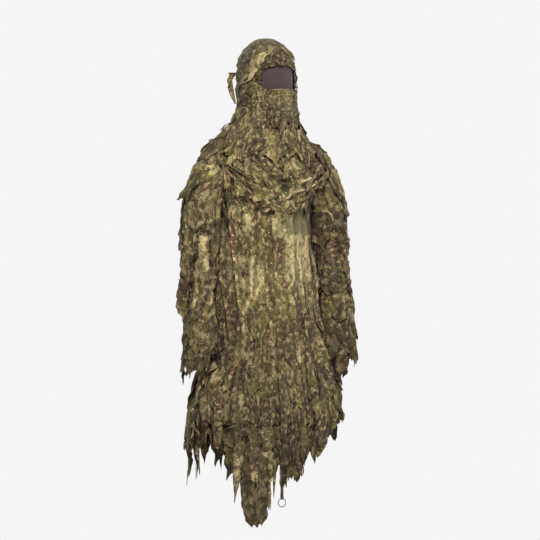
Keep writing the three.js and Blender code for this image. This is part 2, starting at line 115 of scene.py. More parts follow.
# ---- Sleeves: height, the middle's x and y, and the radius ----
SHOULDER = np.array([0.190, 0.0, -0.095])
SHOULDER_RADIUS = 0.066
SLEEVE_RINGS = [
    (SLEEVE_END_Z, 0.240, -0.036, 0.048),
    (-0.500, 0.237, -0.020, 0.052),
    (-0.400, 0.232, -0.008, 0.055),
    (-0.280, 0.225, 0.0, 0.059),
    (-0.170, 0.215, 0.0, 0.062),
    (SHOULDER[2], SHOULDER[0], 0.0, 0.065),
]
ARMHOLE_BITE = 0.008            # how far the coat's cut edge runs inside the sleeve head
ELBOW_DROP = 0.28               # the elbow's creases lie this far below the shoulder
ELBOW_REACH = 0.11              # and spread this far along the sleeve

# ---- Grids: rows and columns ----
COAT_GRID = (230, 320)
HOOD_COLUMNS = 320
HOOD_DOME_ROWS = 60
HOOD_ROWS_BELOW = 110
POLE_SHARE = 0.997              # the dome's first row lies just off its pole
SHOULDER_ROWS = 26
SLEEVE_GRID = (150, 110)
COWL_GRID = (90, 260)
NECK_GRID = (70, 300)
VEIL_GRID = (80, 130)
CUFF_GRID = (24, 320)
FLAP_GRID = (150, 26)

# ---- Coat ----
COAT_CUT_BELOW = 0.012          # the cloth is drawn this far below the frame's hem and then torn
HEM_TEAR = 0.034                # how high the tears in its lower edge reach
ZIP_HALF_GAP = 0.009
FOLD_DEPTH_AT_COLLAR = 0.0035
FOLD_DEPTH_GAINED = 0.0110      # by the time that the cloth is well below the waist
FOLDS_BESIDE_ZIP = 0.25         # the folds flatten to this share of their depth next to the zip

# ---- Hood, face net and veil ----
GUSSET_HALF = 0.030
HOOD_THICKNESS = 0.0025
FACE_HALF = 0.060
FACE_LOW = 0.106
FACE_HIGH = 0.252
FACE_CORNER = 0.034
NET_FOLD = 0.12                 # the stretched net takes up this share of the hood's folds
NET_DEPTH = 0.0060
NET_OVERLAP = 0.008
NET_THICKNESS = 0.0008
VEIL_REACH = math.radians(58)
VEIL_CORNER_FROM = math.radians(30)
VEIL_CORNER_RISE = 0.024        # how far the veil's top edge climbs at its two ends
VEIL_GAP = 0.0055
VEIL_BOTTOM_SWING = 0.014       # it stands this much further from the hood at its lower edge
VEIL_OVERHANG = 0.022           # how far its torn lower edge hangs below the frame's veil
VEIL_THICKNESS = 0.0015
VEIL_RAGS = 9
NOSE_Z = 0.172
NOSE_HEIGHT = 0.010

# ---- Cowl and neck drape ----
COWL_FRONT_TOP = 0.084
COWL_BACK_TOP = 0.046
COWL_FRONT_BOTTOM = -0.195
COWL_SIDE_BOTTOM = -0.012
COWL_BACK_BOTTOM = -0.120
COWL_TOP_OUT = 0.012
COWL_BOTTOM_OUT = 0.020
COWL_SWAGS = 7                  # drooping folds from its top to its lower edge
COWL_FRINGE = 34                # rags on its lower edge
COWL_ROLL_RADIUS = 0.0042
ROLL_WIDENING = 1.3             # a roll's width across the cloth, in radii
ROLL_FLATTENING = 0.75          # a rolled fold's height off the cloth, in radii
NECK_FULLER = 0.024             # how much further the neck stands out on the wearer's right
NECK_FULLEST_Z = 0.035
NECK_FRONT_TOP = 0.060
NECK_BACK_TOP = 0.130
NECK_BOTTOM = -0.028
NECK_FOLD_SLANT = np.array([[1.0, 0.0, 0.35], [0.0, 1.0, 0.0], [-0.35, 0.0, 1.0]])

# ---- Cloth and rag sizes ----
CLOTH_THICKNESS = 0.0012
RAG_THICKNESS = 0.0007
RAG_STEP = 0.011                # spacing of a rag's rows
RAG_ROWS_LEAST = 5
RAG_COLUMNS = 8
NOTCH_CHANCE = 0.05             # of a deep notch at each row of a rag's edge
SURFACE_CLEARANCE = 0.0008      # no rag lies closer than this to the cloth under it
COWL_OVERLAP = 0.03             # rags on the coat start this far under the cowl's edge
CLEAR_OF_FLAP = (FLAP_HIGH.x - FLAP_LOW.x) / 2 + 0.026
PLAIN_CHEST_HALF = 0.110        # the front carries no rags from the cowl down to here
PLAIN_CHEST_Z = -0.440
CHEST_LEVELS = (-0.48, 0.0)
WAIST_LEVELS = (-0.52, -0.30)
LAP_LEVELS = (HEM_Z + 0.03, -0.48)
SLEEVE_RAGS_FROM_X = 0.150
CUFF_RAG_LAYERS = 2
CUFF_RAGS = 9

# ---- Hem and tail ----
HEM_HALF = 0.228                # the oval on which angles round the hem are measured
HEM_DEPTH = 0.173
HEM_ZIP_REACH = 0.27            # sine of the angle at the front where rags start below the zip
HEM_TUCK = 0.22                 # how steeply the rags fall in towards the legs at the sides
HEM_START_OVER_ZIP = (0.0, 0.012)    # how far above the hem its rags are sewn on
HEM_START = (0.03, 0.26)
HEM_RAG_LEAST = 0.06
HEM_LAYERS = [(34, 1.0, 0.001), (32, 0.85, 0.005), (30, 0.6, 0.009)]    # count, share of depth, lift
TAIL_DEPTH = 0.178
TAIL_SEWN_ROWS = 12             # rows of the coat's grid above its edge where the tail is sewn on
TAIL_WIDTH = 0.100
# The strips over the tail: columns to its side, share of its length, and width.
TAIL_STRIPS = [(-9, 0.80, 0.040), (-2, 0.90, 0.034), (5, 0.72, 0.044), (11, 0.86, 0.028), (15, 0.62, 0.036)]

# ---- Loose strip behind the hood, and the ring's strap ----
LOOSE_ANGLE = math.radians(-112)
LOOSE_TOP = 0.240
LOOSE_BOTTOM = 0.143
LOOSE_WIDTH = 0.022
LOOSE_GRID = (14, 5)
STRAP_LOOP = 0.0028
STRAP_HALF = (0.009, 0.0045)    # above the ring, and where it turns through it
STRAP_WIDE_ROWS = 20

# ---- Zip flap ----
FLAP_STAND = 0.0145             # how far its sewn edge stands off the front
FLAP_EDGE_TURN = 0.004          # how far its free edge is turned in towards the coat
FLAP_THICKNESS = 0.002
FLAP_RAG_LEVELS = np.arange(0.38, 0.58, 0.055)
FLAP_STRIPS = (0.08, 0.22, 0.38, 0.52, 0.68, 0.82, 0.93)    # their places, as shares of its width


def at_height(table, z):
    """The table's other values at each height z, on straight lines between its rows."""
    rows = np.array(sorted(table))
    return [np.interp(z, rows[:, 0], rows[:, k]) for k in range(1, rows.shape[1])]


def smoothstep(low, high, value):
    t = np.clip((value - low) / (high - low), 0, 1)
    return t * t * (3 - 2 * t)


def oval_point(theta, z, ovals, out=0.0):
    """A point on the cloth at angle theta, 0 at the front and growing to the wearer's left."""
    half, back, front = at_height(ovals, z)
    depth = np.where(np.cos(theta) > 0, front, back)
    return np.stack([(half + out) * np.sin(theta), -(depth + out) * np.cos(theta), z + 0 * theta], -1)


# ---- Folds ----
def waves(points, seed, across, along, count=8):
    """Random folds at each point: sine waves about across wide and along long, in metres."""
    rng = np.random.default_rng(seed)
    total = np.zeros(points.shape[:-1])
    for _ in range(count):
        heading = rng.uniform(0, TURN)
        flat = TURN / (across * rng.uniform(0.6, 1.8))
        up = TURN / (along * rng.uniform(0.6, 1.8)) * rng.choice([-1, 1])
        wave = np.array([math.cos(heading) * flat, math.sin(heading) * flat, up])
        total += np.sin(points @ wave + rng.uniform(0, TURN))
    return total / math.sqrt(count)


def creases(points, seed, across, along):
    """Sharp ridges between soft hollows, from 0 in a hollow to 1 on a ridge."""
    return (1 - np.clip(np.abs(waves(points, seed, across, along)), 0, 1)) ** 2


# ---- Cloth grids ----
class Cloth:
    """A grid of points. Rows run down the cloth and columns round it, towards the wearer's left."""

    def __init__(self, points, closed=True):
        self.points = points
        self.closed = closed
        self.normals = self.find_normals()
        steps = np.linalg.norm(np.diff(points, axis=0), axis=2)
        top = np.zeros((1, points.shape[1]))
        self.down = np.vstack([top, np.cumsum(steps, axis=0)])
        following = np.roll(points, -1, axis=1)
        self.column_width = np.linalg.norm(following - points, axis=2)
        if not closed:
            self.column_width[:, -1] = self.column_width[:, -2]

    def find_normals(self):
        downwards = np.gradient(self.points, axis=0)
        if self.closed:
            round_it = np.roll(self.points, -1, axis=1) - np.roll(self.points, 1, axis=1)
        else:
            round_it = np.gradient(self.points, axis=1)
        normals = np.cross(downwards, round_it)
        return normals / np.maximum(np.linalg.norm(normals, axis=2, keepdims=True), 1e-9)

    def pushed(self, distance):
        """The same cloth moved out along its normals."""
        return Cloth(self.points + self.normals * distance[..., None], self.closed)

    def mix(self, values, row, column):
        """The grid's values at rows and columns that need not be whole numbers."""
        rows, columns = self.points.shape[:2]
        row = np.clip(row, 0, rows - 1.001)
        column = np.mod(column, columns) if self.closed else np.clip(column, 0, columns - 1.001)
        low_row = row.astype(int)
        low_column = column.astype(int)
        next_column = (low_column + 1) % columns
        s = row - low_row
        t = column - low_column
        if values.ndim == 3:
            s = s[..., None]
            t = t[..., None]
        upper = values[low_row, low_column] * (1 - t) + values[low_row, next_column] * t
        lower = values[low_row + 1, low_column] * (1 - t) + values[low_row + 1, next_column] * t
        return upper * (1 - s) + lower * s


def all_round(columns):
    return np.linspace(-math.pi, math.pi, columns, endpoint=False)


def ring_cloth(heights, columns, point_at):
    angle, z = np.meshgrid(all_round(columns), heights)
    return Cloth(point_at(angle, z))


def coat_cloth():
    heights = np.linspace(COLLAR_Z, HEM_Z - COAT_CUT_BELOW, COAT_GRID[0])
    cloth = ring_cloth(heights, COAT_GRID[1], lambda a, z: oval_point(a, z, COAT_OVALS))
    p = cloth.points
    drop = COLLAR_Z - p[..., 2]
    depth = FOLD_DEPTH_AT_COLLAR + FOLD_DEPTH_GAINED * smoothstep(0.05, 0.6, drop)
    folds = 0.5 * waves(p, 11, 0.075, 1.1) + 1.2 * creases(p, 12, 0.11, 0.6) - 0.7
    crumple = 0.0010 * waves(p, 13, 0.030, 0.08) + 0.0022 * creases(p, 14, 0.05, 0.16)
    zip_side = smoothstep(0.045, 0.09, np.abs(p[..., 0]) + 0.2 * (p[..., 1] > 0))
    return cloth.pushed((depth * folds + crumple)
                        * (FOLDS_BESIDE_ZIP + (1 - FOLDS_BESIDE_ZIP) * zip_side))


def hood_cloth(fold=1.0):
    """The hood's rows run from the crown down, closely round the dome and then evenly to the neck."""
    theta = all_round(HOOD_COLUMNS)
    _, half, back, front = HOOD_OVALS[-1]
    rows = []
    for angle in np.linspace(POLE_SHARE, 0, HOOD_DOME_ROWS, endpoint=False) * math.pi / 2:
        z = HOOD_DOME_Z + (CROWN_Z - HOOD_DOME_Z) * math.sin(angle)
        shrink = math.cos(angle)
        depth = np.where(np.cos(theta) > 0, front, back) * shrink
        rows.append(np.stack([half * shrink * np.sin(theta), -depth * np.cos(theta), z + 0 * theta], -1))
    for z in np.linspace(HOOD_DOME_Z, HOOD_BOTTOM_Z, HOOD_ROWS_BELOW):
        rows.append(oval_point(theta, np.full_like(theta, z), HOOD_OVALS))
    cloth = Cloth(np.array(rows))
    p = cloth.points
    wrap = 0.0030 * creases(p * [1, 1, 1.4], 21, 0.09, 0.07) + 0.0016 * waves(p, 22, 0.05, 0.045)
    gathers = smoothstep(0.16, 0.08, p[..., 2]) * 0.003 * waves(p, 23, 0.035, 0.3)
    smooth_crown = 1 - 0.75 * smoothstep(0.27, 0.33, p[..., 2])
    return cloth.pushed(fold * (wrap + gathers) * smooth_crown - 0.001)


def sleeve_ring(z):
    """The middle and radius of a sleeve at a height. The sleeve's head closes over the shoulder."""
    x, y, radius = at_height(SLEEVE_RINGS, z)
    rise = np.clip((z - SHOULDER[2]) / SHOULDER_RADIUS, 0, 1)
    return x, y, radius * np.sqrt(1 - rise ** 2)


def sleeve_cloth(side):
    """A sleeve from the shoulder's top down to the wrist. side is 1 on the wearer's left."""
    top = SHOULDER[2] + SHOULDER_RADIUS * 0.995
    climb = np.linspace(0.47, 0, SHOULDER_ROWS, endpoint=False) * math.pi
    heights = np.concatenate([
        SHOULDER[2] + SHOULDER_RADIUS * np.sin(climb),
        np.linspace(SHOULDER[2], SLEEVE_END_Z, SLEEVE_GRID[0]),
    ])
    heights = np.minimum(heights, top)

    def point_at(angle, z):
        x, y, radius = sleeve_ring(z)
        return np.stack([side * x + radius * np.sin(angle), y - radius * np.cos(angle), z], -1)

    cloth = ring_cloth(heights, SLEEVE_GRID[1], point_at)
    p = cloth.points
    drop = SHOULDER[2] - p[..., 2]
    hang = smoothstep(0.0, 0.2, drop)
    lengthwise = 0.0045 * waves(p, 31 + side, 0.05, 0.6) + 0.007 * creases(p, 37 + side, 0.08, 0.4)
    elbow = np.exp(-((drop - ELBOW_DROP) / ELBOW_REACH) ** 2)
    rings = 0.0035 * creases(p * [0.7, 0.7, 1.0], 33 + side, 0.16, 0.05)
    crumple = 0.0015 * waves(p, 35 + side, 0.03, 0.04)
    return cloth.pushed(hang * (lengthwise - 0.005) + rings * (0.35 + elbow) * hang + crumple)


def cowl_edge(theta):
    forward = np.cos(theta)
    deepest = np.where(forward > 0, COWL_FRONT_BOTTOM, COWL_BACK_BOTTOM)
    return COWL_SIDE_BOTTOM + (deepest - COWL_SIDE_BOTTOM) * forward ** 2


def cowl_cloth():
    angle, v = np.meshgrid(all_round(COWL_GRID[1]), np.linspace(1, 0, COWL_GRID[0]))
    top = COWL_BACK_TOP + (COWL_FRONT_TOP - COWL_BACK_TOP) * (np.cos(angle) + 1) / 2
    bottom = cowl_edge(angle)
    z = bottom + (top - bottom) * v
    out = COWL_BOTTOM_OUT + (COWL_TOP_OUT - COWL_BOTTOM_OUT) * v
    points = oval_point(angle, z, GARMENT_OVALS, out)
    cloth = Cloth(points)
    wander = 1.1 * waves(points, 41, 0.15, 0.15) + 2.2 * np.sin(angle * 1.5 + 0.6)
    swags = (1 - np.abs(np.sin(v * COWL_SWAGS * math.pi / 2 + wander))) ** 1.5
    upright = 0.0030 * waves(points, 42, 0.05, 0.20)
    crumple = 0.0014 * waves(points, 43, 0.03, 0.035)
    loose = 0.5 + 0.5 * smoothstep(1.0, 0.8, v)
    return cloth.pushed((0.011 * swags - 0.003 + upright) * loose + crumple)


def neck_cloth():
    """The loose cloth from the hood down to the shoulders."""
    angle, v = np.meshgrid(all_round(NECK_GRID[1]), np.linspace(1, 0, NECK_GRID[0]))
    beside = smoothstep(math.radians(38), math.radians(75), np.abs(angle))
    top = NECK_FRONT_TOP + (NECK_BACK_TOP - NECK_FRONT_TOP) * beside
    torn = 0.010 * np.sin(angle * 11) + 0.008 * np.sin(angle * 27 + 2) + 0.004 * np.sin(angle * 61)
    bottom = NECK_BOTTOM + torn
    z = bottom + (top - bottom) * v
    points = oval_point(angle, z, NECK_OVALS)
    fuller = smoothstep(0.0, 0.8, -np.sin(angle)) * np.exp(-((z - NECK_FULLEST_Z) / 0.035) ** 2)
    points[..., 0] -= NECK_FULLER * fuller
    cloth = Cloth(points)
    p = cloth.points
    slanting = 0.0055 * creases(p @ NECK_FOLD_SLANT, 81, 0.09, 0.22)
    upright = 0.0030 * waves(p, 82, 0.045, 0.30)
    crumple = 0.0012 * waves(p, 83, 0.028, 0.04)
    return cloth.pushed((slanting - 0.001 + upright) * (0.35 + 0.65 * smoothstep(1, 0.6, v)) + crumple)


def veil_cloth():
    theta = np.linspace(-VEIL_REACH, VEIL_REACH, VEIL_GRID[1])
    rise = VEIL_CORNER_RISE * smoothstep(VEIL_CORNER_FROM, VEIL_REACH, np.abs(theta))
    torn = 0.009 * np.sin(theta * 9) + 0.007 * np.sin(theta * 31 + 1)
    share = np.linspace(0, 1, VEIL_GRID[0])[:, None]
    top = VEIL_HIGH.z + rise
    z = top + (VEIL_LOW.z - VEIL_OVERHANG + torn - top) * share
    out = VEIL_GAP + VEIL_BOTTOM_SWING * share ** 2
    cloth = Cloth(oval_point(theta + 0 * z, z, HOOD_OVALS, out), closed=False)
    p = cloth.points
    gathers = 0.0022 * waves(p, 51, 0.060, 0.10) + 0.0030 * creases(p * [0.7, 0.7, 1.2], 52, 0.08, 0.05)
    nose = NOSE_HEIGHT * np.exp(-(p[..., 0] / 0.018) ** 2 - ((p[..., 2] - NOSE_Z) / 0.022) ** 2)
    return cloth.pushed(gathers + nose)


def flap_cloth():
    """A strip over the zip that springs from its sewn edge and lies flat, with a turned free edge."""
    heights = np.linspace(FLAP_HIGH.z, FLAP_LOW.z + 0.004, FLAP_GRID[0])
    s, z = np.meshgrid(np.linspace(0, 1, FLAP_GRID[1]), heights)
    x = FLAP_LOW.x + (FLAP_HIGH.x - FLAP_LOW.x) * s
    stand = FLAP_STAND * (1 - smoothstep(0.72, 1.0, s)) + 0.001
    turned_in = FLAP_EDGE_TURN * smoothstep(0.8, 1.0, s)
    points = np.stack([x, -(front_depth(z) + stand - turned_in), z], -1)
    cloth = Cloth(points, closed=False)
    return cloth.pushed(0.0016 * waves(points, 61, 0.05, 0.12) + 0.0012 * creases(points, 62, 0.05, 0.05))


# ---- Meshes ----
PRINT = "print_place"           # where each point lies on the printed cloth, in metres
RELIEF = "relief"               # 0 in a hollow, which is given painted shade, to 1 on a ridge, which is given a painted highlight
RELIEF_DEPTH = 0.0028
RELIEF_GAIN = 1.6
BLUR_STEPS = 6


def relief_of(cloth):
    """How far each point stands out of or lies under the cloth round it, from 0 to 1."""
    smooth = cloth.points
    for _ in range(BLUR_STEPS):
        for axis in (0, 1):
            before = np.roll(smooth, 1, axis=axis)
            after = np.roll(smooth, -1, axis=axis)
            if axis == 0 or not cloth.closed:
                first = [slice(None)] * 3
                last = [slice(None)] * 3
                first[axis], last[axis] = 0, -1
                before[tuple(first)] = 2 * smooth[tuple(first)] - after[tuple(first)]
                after[tuple(last)] = 2 * smooth[tuple(last)] - before[tuple(last)]
            smooth = (before + smooth + after) / 3
    height = ((cloth.points - smooth) * cloth.normals).sum(axis=2)
    return smoothstep(-RELIEF_DEPTH, RELIEF_DEPTH, height * RELIEF_GAIN)


def make_mesh(name, vertices, faces, prints, reliefs, material, thickness):
    mesh = bpy.data.meshes.new(name)
    mesh.from_pydata([tuple(v) for v in vertices], [], [tuple(int(k) for k in f) for f in faces])
    place = mesh.attributes.new(PRINT, "FLOAT_VECTOR", "POINT")
    place.data.foreach_set("vector", np.asarray(prints, np.float32).ravel())
    relief = mesh.attributes.new(RELIEF, "FLOAT", "POINT")
    relief.data.foreach_set("value", np.asarray(reliefs, np.float32).ravel())
    mesh.polygons.foreach_set("use_smooth", [True] * len(mesh.polygons))
    mesh.materials.append(material)
    mesh.validate()
    piece = bpy.data.objects.new(name, mesh)
    bpy.context.scene.collection.objects.link(piece)
    solidify = piece.modifiers.new("thickness", "SOLIDIFY")
    solidify.thickness = thickness
    solidify.offset = -1
    return piece


def grid_faces(rows, columns, closed=False):
    """The four corners of each face of a grid of points numbered row by row."""
    last = columns if closed else columns - 1
    row, column = np.meshgrid(np.arange(rows - 1), np.arange(last), indexing="ij")
    following = (column + 1) % columns
    corners = [row * columns + column, (row + 1) * columns + column,
               (row + 1) * columns + following, row * columns + following]
    return np.stack(corners, -1).reshape(-1, 4)


def whole(centres):
    return np.ones(len(centres), bool)


def cloth_piece(name, cloth, material, seed, keep=whole, thickness=CLOTH_THICKNESS):
    """A panel cut from a cloth: the faces whose centres keep() accepts."""
    rows, columns = cloth.points.shape[:2]
    vertices = cloth.points.reshape(-1, 3)
    faces = grid_faces(rows, columns, cloth.closed)
    faces = faces[keep(vertices[faces].mean(axis=1))]
    around = np.cumsum(cloth.column_width.mean(axis=0))
    across = np.broadcast_to(around, (rows, columns))
    prints = np.stack([across, -cloth.down, np.full((rows, columns), seed * 3.7)], -1).reshape(-1, 3)
    used = np.unique(faces)
    renumber = np.full(len(vertices), -1)
    renumber[used] = np.arange(len(used))
    reliefs = relief_of(cloth).ravel()[used]
    return make_mesh(name, vertices[used], renumber[faces], prints[used], reliefs, material, thickness)


def claim(piece, body, slot, *nodes):
    """Says which body carries a piece and hides the CAD nodes that it stands for. slot is not used."""
    if body:
        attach(piece, body)
    if nodes:
        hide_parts(*nodes)


# ---- Rags ----
def torn_edge(rng, t, half, deep, pointed):
    """Half width along a rag, with torn notches up to deep. A pointed rag narrows to its end."""
    shape = (1 - 0.25 * (1 - np.minimum(t * 5, 1)) ** 2) * (1 - pointed * t ** 3)
    shape *= np.sqrt(1 - 0.8 * smoothstep(0.90, 1.0, t))
    torn = rng.uniform(1 - deep, 1.06, len(t))
    notch = rng.random(len(t)) < NOTCH_CHANCE
    torn[notch] *= rng.uniform(0.4, 0.75)
    return half * shape * torn


def lengthwise_ridges(rng, q, s, t, crinkle):
    """Ridges and rolls that run down a rag, deeper towards its loose end."""
    total = np.zeros_like(q)
    for _ in range(3):
        across = TURN / rng.uniform(0.018, 0.045) * rng.choice([-1, 1])
        along = TURN / rng.uniform(0.15, 0.50)
        total += np.sin(q * across + s * along + rng.uniform(0, TURN)) / 3
    for _ in range(2):
        across = TURN / rng.uniform(0.020, 0.060) * rng.choice([-1, 1])
        along = TURN / rng.uniform(0.035, 0.090)
        total += crinkle * np.sin(q * across + s * along + rng.uniform(0, TURN))
    return total * (0.3 + 0.7 * t)


def turned(base, normal, q, hang, twist):
    """A rag's points with its loose part turned about its middle line by the angle twist."""
    middle = base[:, RAG_COLUMNS // 2][:, None]
    out = normal[:, RAG_COLUMNS // 2][:, None]
    sideways = np.cross(out, [0.0, 0.0, -1.0])
    sideways /= np.maximum(np.linalg.norm(sideways, axis=2, keepdims=True), 1e-6)
    angle = (twist * smoothstep(0, 0.12, hang))[..., None]
    turned_points = middle - (sideways * np.cos(angle) + out * np.sin(angle)) * q[..., None]
    turned_points[..., 2] = base[..., 2]
    free = smoothstep(0.0, 0.03, hang)[..., None]
    return base * (1 - free) + turned_points * free


def rag(rng, cloth, row, column, length, width, lift, flare, pointed=0.7, deep=0.16, ragged=0.3,
        ridge=0.005, crinkle=0.25, sway=0.012, lean=0.1, slope=0.0, twist=0.0, tuck=0.0):
    """One rag sewn on a cloth at a grid place, as a grid of points and their places on the print."""
    count = max(RAG_ROWS_LEAST, int(length / RAG_STEP))
    t = np.linspace(0, 1, count + 1)[:, None] * np.ones(RAG_COLUMNS + 1)
    tongues = np.convolve(rng.uniform(0, 1, RAG_COLUMNS + 3), [0.25, 0.5, 0.25], "valid")
    s = t * length * (1 - ragged * tongues)
    rows, columns = cloth.points.shape[:2]
    index = int(column) % columns
    start = np.interp(row, np.arange(rows), cloth.down[:, index])
    reach = start + s
    rows_at = np.interp(reach, cloth.down[:, index], np.arange(rows))
    hang = np.maximum(0, reach - cloth.down[-1, index])

    across = np.linspace(0, 1, RAG_COLUMNS + 1)
    left = torn_edge(rng, t[:, 0], width / 2, deep, pointed)[:, None]
    right = torn_edge(rng, t[:, 0], width / 2, deep, pointed)[:, None]
    q = -left + (left + right) * across
    roll = rng.uniform(0.55, 2.0) * width
    side = rng.choice([-1, 1], p=[0.3, 0.7])
    q_rolled = roll * np.sin(q / roll)
    bow = side * roll * (1 - np.cos(q / roll)) * smoothstep(0.0, 0.3, t)

    drift = sway * np.sin(t * rng.uniform(2, 6) + rng.uniform(0, TURN)) * t
    drift += (rng.uniform(-lean, lean) + slope) * s
    width_here = np.maximum(cloth.mix(cloth.column_width, rows_at, np.full_like(rows_at, column)), 1e-4)
    grid_column = column + (drift + q_rolled) / width_here
    base = cloth.mix(cloth.points, rows_at, grid_column)
    normal = cloth.mix(cloth.normals, rows_at, grid_column)
    base[..., 2] -= hang
    base[..., :2] -= normal[..., :2] * (tuck * hang)[..., None]
    if twist:
        base = turned(base, normal, q_rolled, hang, twist)

    folds = lengthwise_ridges(rng, q, s, t, crinkle)
    height = lift + flare * t ** 1.7 + np.maximum(bow, -0.6 * lift) + ridge * folds
    grid = base + normal * np.maximum(height, SURFACE_CLEARANCE)[..., None]
    place = rng.uniform(-3, 3, 3)
    prints = np.stack([q + place[0], place[1] - s, np.full_like(q, place[2])], -1)
    own_tone = 0.78 + 0.11 * place[2]
    # Painted shade in the hollows of the rag's folds and a painted highlight on their ridges, times the
    # rag's own tone, with painted shade near its sewn end.
    relief = np.clip(0.5 + 0.42 * folds, 0, 1) * own_tone * (0.45 + 0.55 * smoothstep(0.0, 0.10, t))
    return grid, prints, relief


class RagPile:
    """Rags gathered into one mesh, all drawn from one random source."""

    def __init__(self, rng=None):
        self.rng = rng
        self.vertices, self.faces, self.prints, self.reliefs = [], [], [], []
        self.count = 0

    def add(self, grid, prints, relief=None):
        rows, columns = grid.shape[:2]
        self.vertices.append(grid.reshape(-1, 3))
        self.prints.append(prints.reshape(-1, 3))
        self.faces.append(self.count + grid_faces(rows, columns))
        self.reliefs.append(np.full(rows * columns, 0.6) if relief is None else relief.ravel())
        self.count += rows * columns

    def sew(self, cloth, row, column, **sizes):
        """Adds a rag at a grid place. A size given as a pair is a range to draw from."""
        for name, size in sizes.items():
            if isinstance(size, tuple):
                sizes[name] = self.rng.uniform(*size)
        self.add(*rag(self.rng, cloth, row, column, **sizes))

    def build(self, name, material, body, *nodes):
        """Makes the piece that body carries, in place of the CAD nodes."""
        parts = [np.concatenate(part) for part in (self.vertices, self.faces, self.prints, self.reliefs)]
        piece = make_mesh(name, *parts, material, RAG_THICKNESS)
        claim(piece, body, "rag_cloth", *nodes)
        return piece


def scatter(rng, cloth, spacing, rows_apart, accept):
    """Grid places on a cloth, about spacing apart round it and rows_apart down it, where accept() allows."""
    rows, columns = cloth.points.shape[:2]
    total = cloth.down[-1].max()
    places = []
    level = rows_apart * 0.3
    while level < total:
        row_near = np.interp(level, cloth.down[:, 0], np.arange(rows))
        girth = cloth.column_width[int(min(row_near, rows - 1))].sum()
        count = max(3, int(girth / spacing))
        phase = rng.uniform(0, 1)
        for k in range(count):
            column = (k + phase + rng.uniform(-0.35, 0.35)) / count * columns % columns
            index = int(column) % columns
            depth = level + rng.uniform(-0.4, 0.4) * rows_apart
            row = np.interp(depth, cloth.down[:, index], np.arange(rows))
            point = cloth.points[int(row), index]
            if 0 <= depth < cloth.down[-1, index] and accept(point):
                places.append((row, column, point))
        level += rows_apart
    return places


def pile_rags(seed, cloth, spacing, rows_apart, accept, style):
    """Rags over part of a cloth. style(rng, point) gives one rag's sizes, or None to leave it out."""
    rng = np.random.default_rng(seed)
    pile = RagPile(rng)
    for row, column, point in scatter(rng, cloth, spacing, rows_apart, accept):
        sizes = style(rng, point)
        if sizes:
            pile.sew(cloth, row, column, **sizes)
    return pile


# ---- Materials ----
def srgb(red, green, blue):
    """A colour given in display values, 0 to 255, as the linear values that shaders use."""
    values = [c / 255 for c in (red, green, blue)]
    linear = [v / 12.92 if v <= 0.04045 else ((v + 0.055) / 1.055) ** 2.4 for v in values]
    return (*linear, 1.0)


class Look:
    """A material with short calls for the nodes used here."""

    def __init__(self, name, roughness, metallic=0.0, sheen=0.0):
        self.material = bpy.data.materials.new(name)
        self.material.use_nodes = True
        self.nodes = self.material.node_tree.nodes
        self.shader = self.nodes["Principled BSDF"]
        self.fill(self.shader, {"Roughness": roughness, "Metallic": metallic, "Sheen Weight": sheen,
                                "Specular IOR Level": 0.5 if metallic else 0.2})

    def fill(self, node, inputs):
        """Sets a node's inputs, each to a value or to another node's output."""
        for socket, value in inputs.items():
            if isinstance(value, bpy.types.NodeSocket):
                self.material.node_tree.links.new(value, node.inputs[socket])
            else:
                node.inputs[socket].default_value = value

    def add(self, kind, inputs):
        node = self.nodes.new("ShaderNode" + kind)
        self.fill(node, inputs)
        return node

    def stored(self, name, output):
        """A value that the mesh stores at each point."""
        node = self.nodes.new("ShaderNodeAttribute")
        node.attribute_name = name
        return node.outputs[output]

    def on_print(self):
        return self.stored(PRINT, "Vector")

    def on_object(self):
        return self.nodes.new("ShaderNodeTexCoord").outputs["Object"]

    def vector(self, operation, first, second):
        node = self.nodes.new("ShaderNodeVectorMath")
        node.operation = operation
        self.fill(node, {0: first, 1: second})
        return node.outputs[0]

    def maths(self, operation, *values):
        node = self.nodes.new("ShaderNodeMath")
        node.operation = operation
        self.fill(node, dict(enumerate(values)))
        return node.outputs[0]

    def noise(self, place, scale, detail=2.0, roughness=0.5, colour=False):
        node = self.add("TexNoise", {"Vector": place, "Scale": scale, "Detail": detail,
                                     "Roughness": roughness})
        return node.outputs["Color" if colour else "Fac"]

    def wander(self, place, scale, roughness, reach):
        """The place moved about at random, to break up an edge drawn there."""
        around_zero = self.vector("SUBTRACT", self.noise(place, scale, 2, roughness, True), (0.5, 0.5, 0.5))
        return self.vector("ADD", place, self.vector("MULTIPLY", around_zero, reach))

    def wave(self, place, scale, direction):
        node = self.add("TexWave", {"Vector": place, "Scale": scale})
        node.bands_direction = direction
        return node.outputs["Fac"]

    def weave(self, place, scale, directions):
        first, second = (self.wave(place, scale, direction) for direction in directions)
        return self.maths("ADD", first, second)

    def over(self, value, threshold, soft=0.01):
        """1 where value is over the threshold, 0 under it."""
        node = self.add("MapRange", {"Value": value, "From Min": threshold - soft,
                                     "From Max": threshold + soft})
        return node.outputs["Result"]

    def inside(self, place, low, high, soft=0.004):
        """1 between two corners, 0 outside them, with a slightly wandering edge."""
        moved = self.wander(place, 60, 0.5, (0.012, 0.012, 0.012))
        parts = self.add("SeparateXYZ", {0: moved}).outputs
        total = 1.0
        for axis in range(3):
            above = self.over(parts[axis], low[axis], soft)
            below = self.maths("SUBTRACT", 1.0, self.over(parts[axis], high[axis], soft))
            total = self.maths("MULTIPLY", total, self.maths("MULTIPLY", above, below))
        return total

    def mix(self, factor, first, second, blend="MIX"):
        node = self.nodes.new("ShaderNodeMix")
        node.data_type = "RGBA"
        node.blend_type = blend
        self.fill(node, {0: factor, 6: first, 7: second})
        return node.outputs[2]

    def bump(self, height, strength, distance, before=None):
        node = self.add("Bump", {"Strength": strength, "Distance": distance, "Height": height})
        if before is not None:
            self.fill(node, {"Normal": before})
        return node.outputs["Normal"]

    def finish(self, colour, normal=None):
        self.fill(self.shader, {"Base Color": colour})
        if normal is not None:
            self.fill(self.shader, {"Normal": normal})
        return self.material


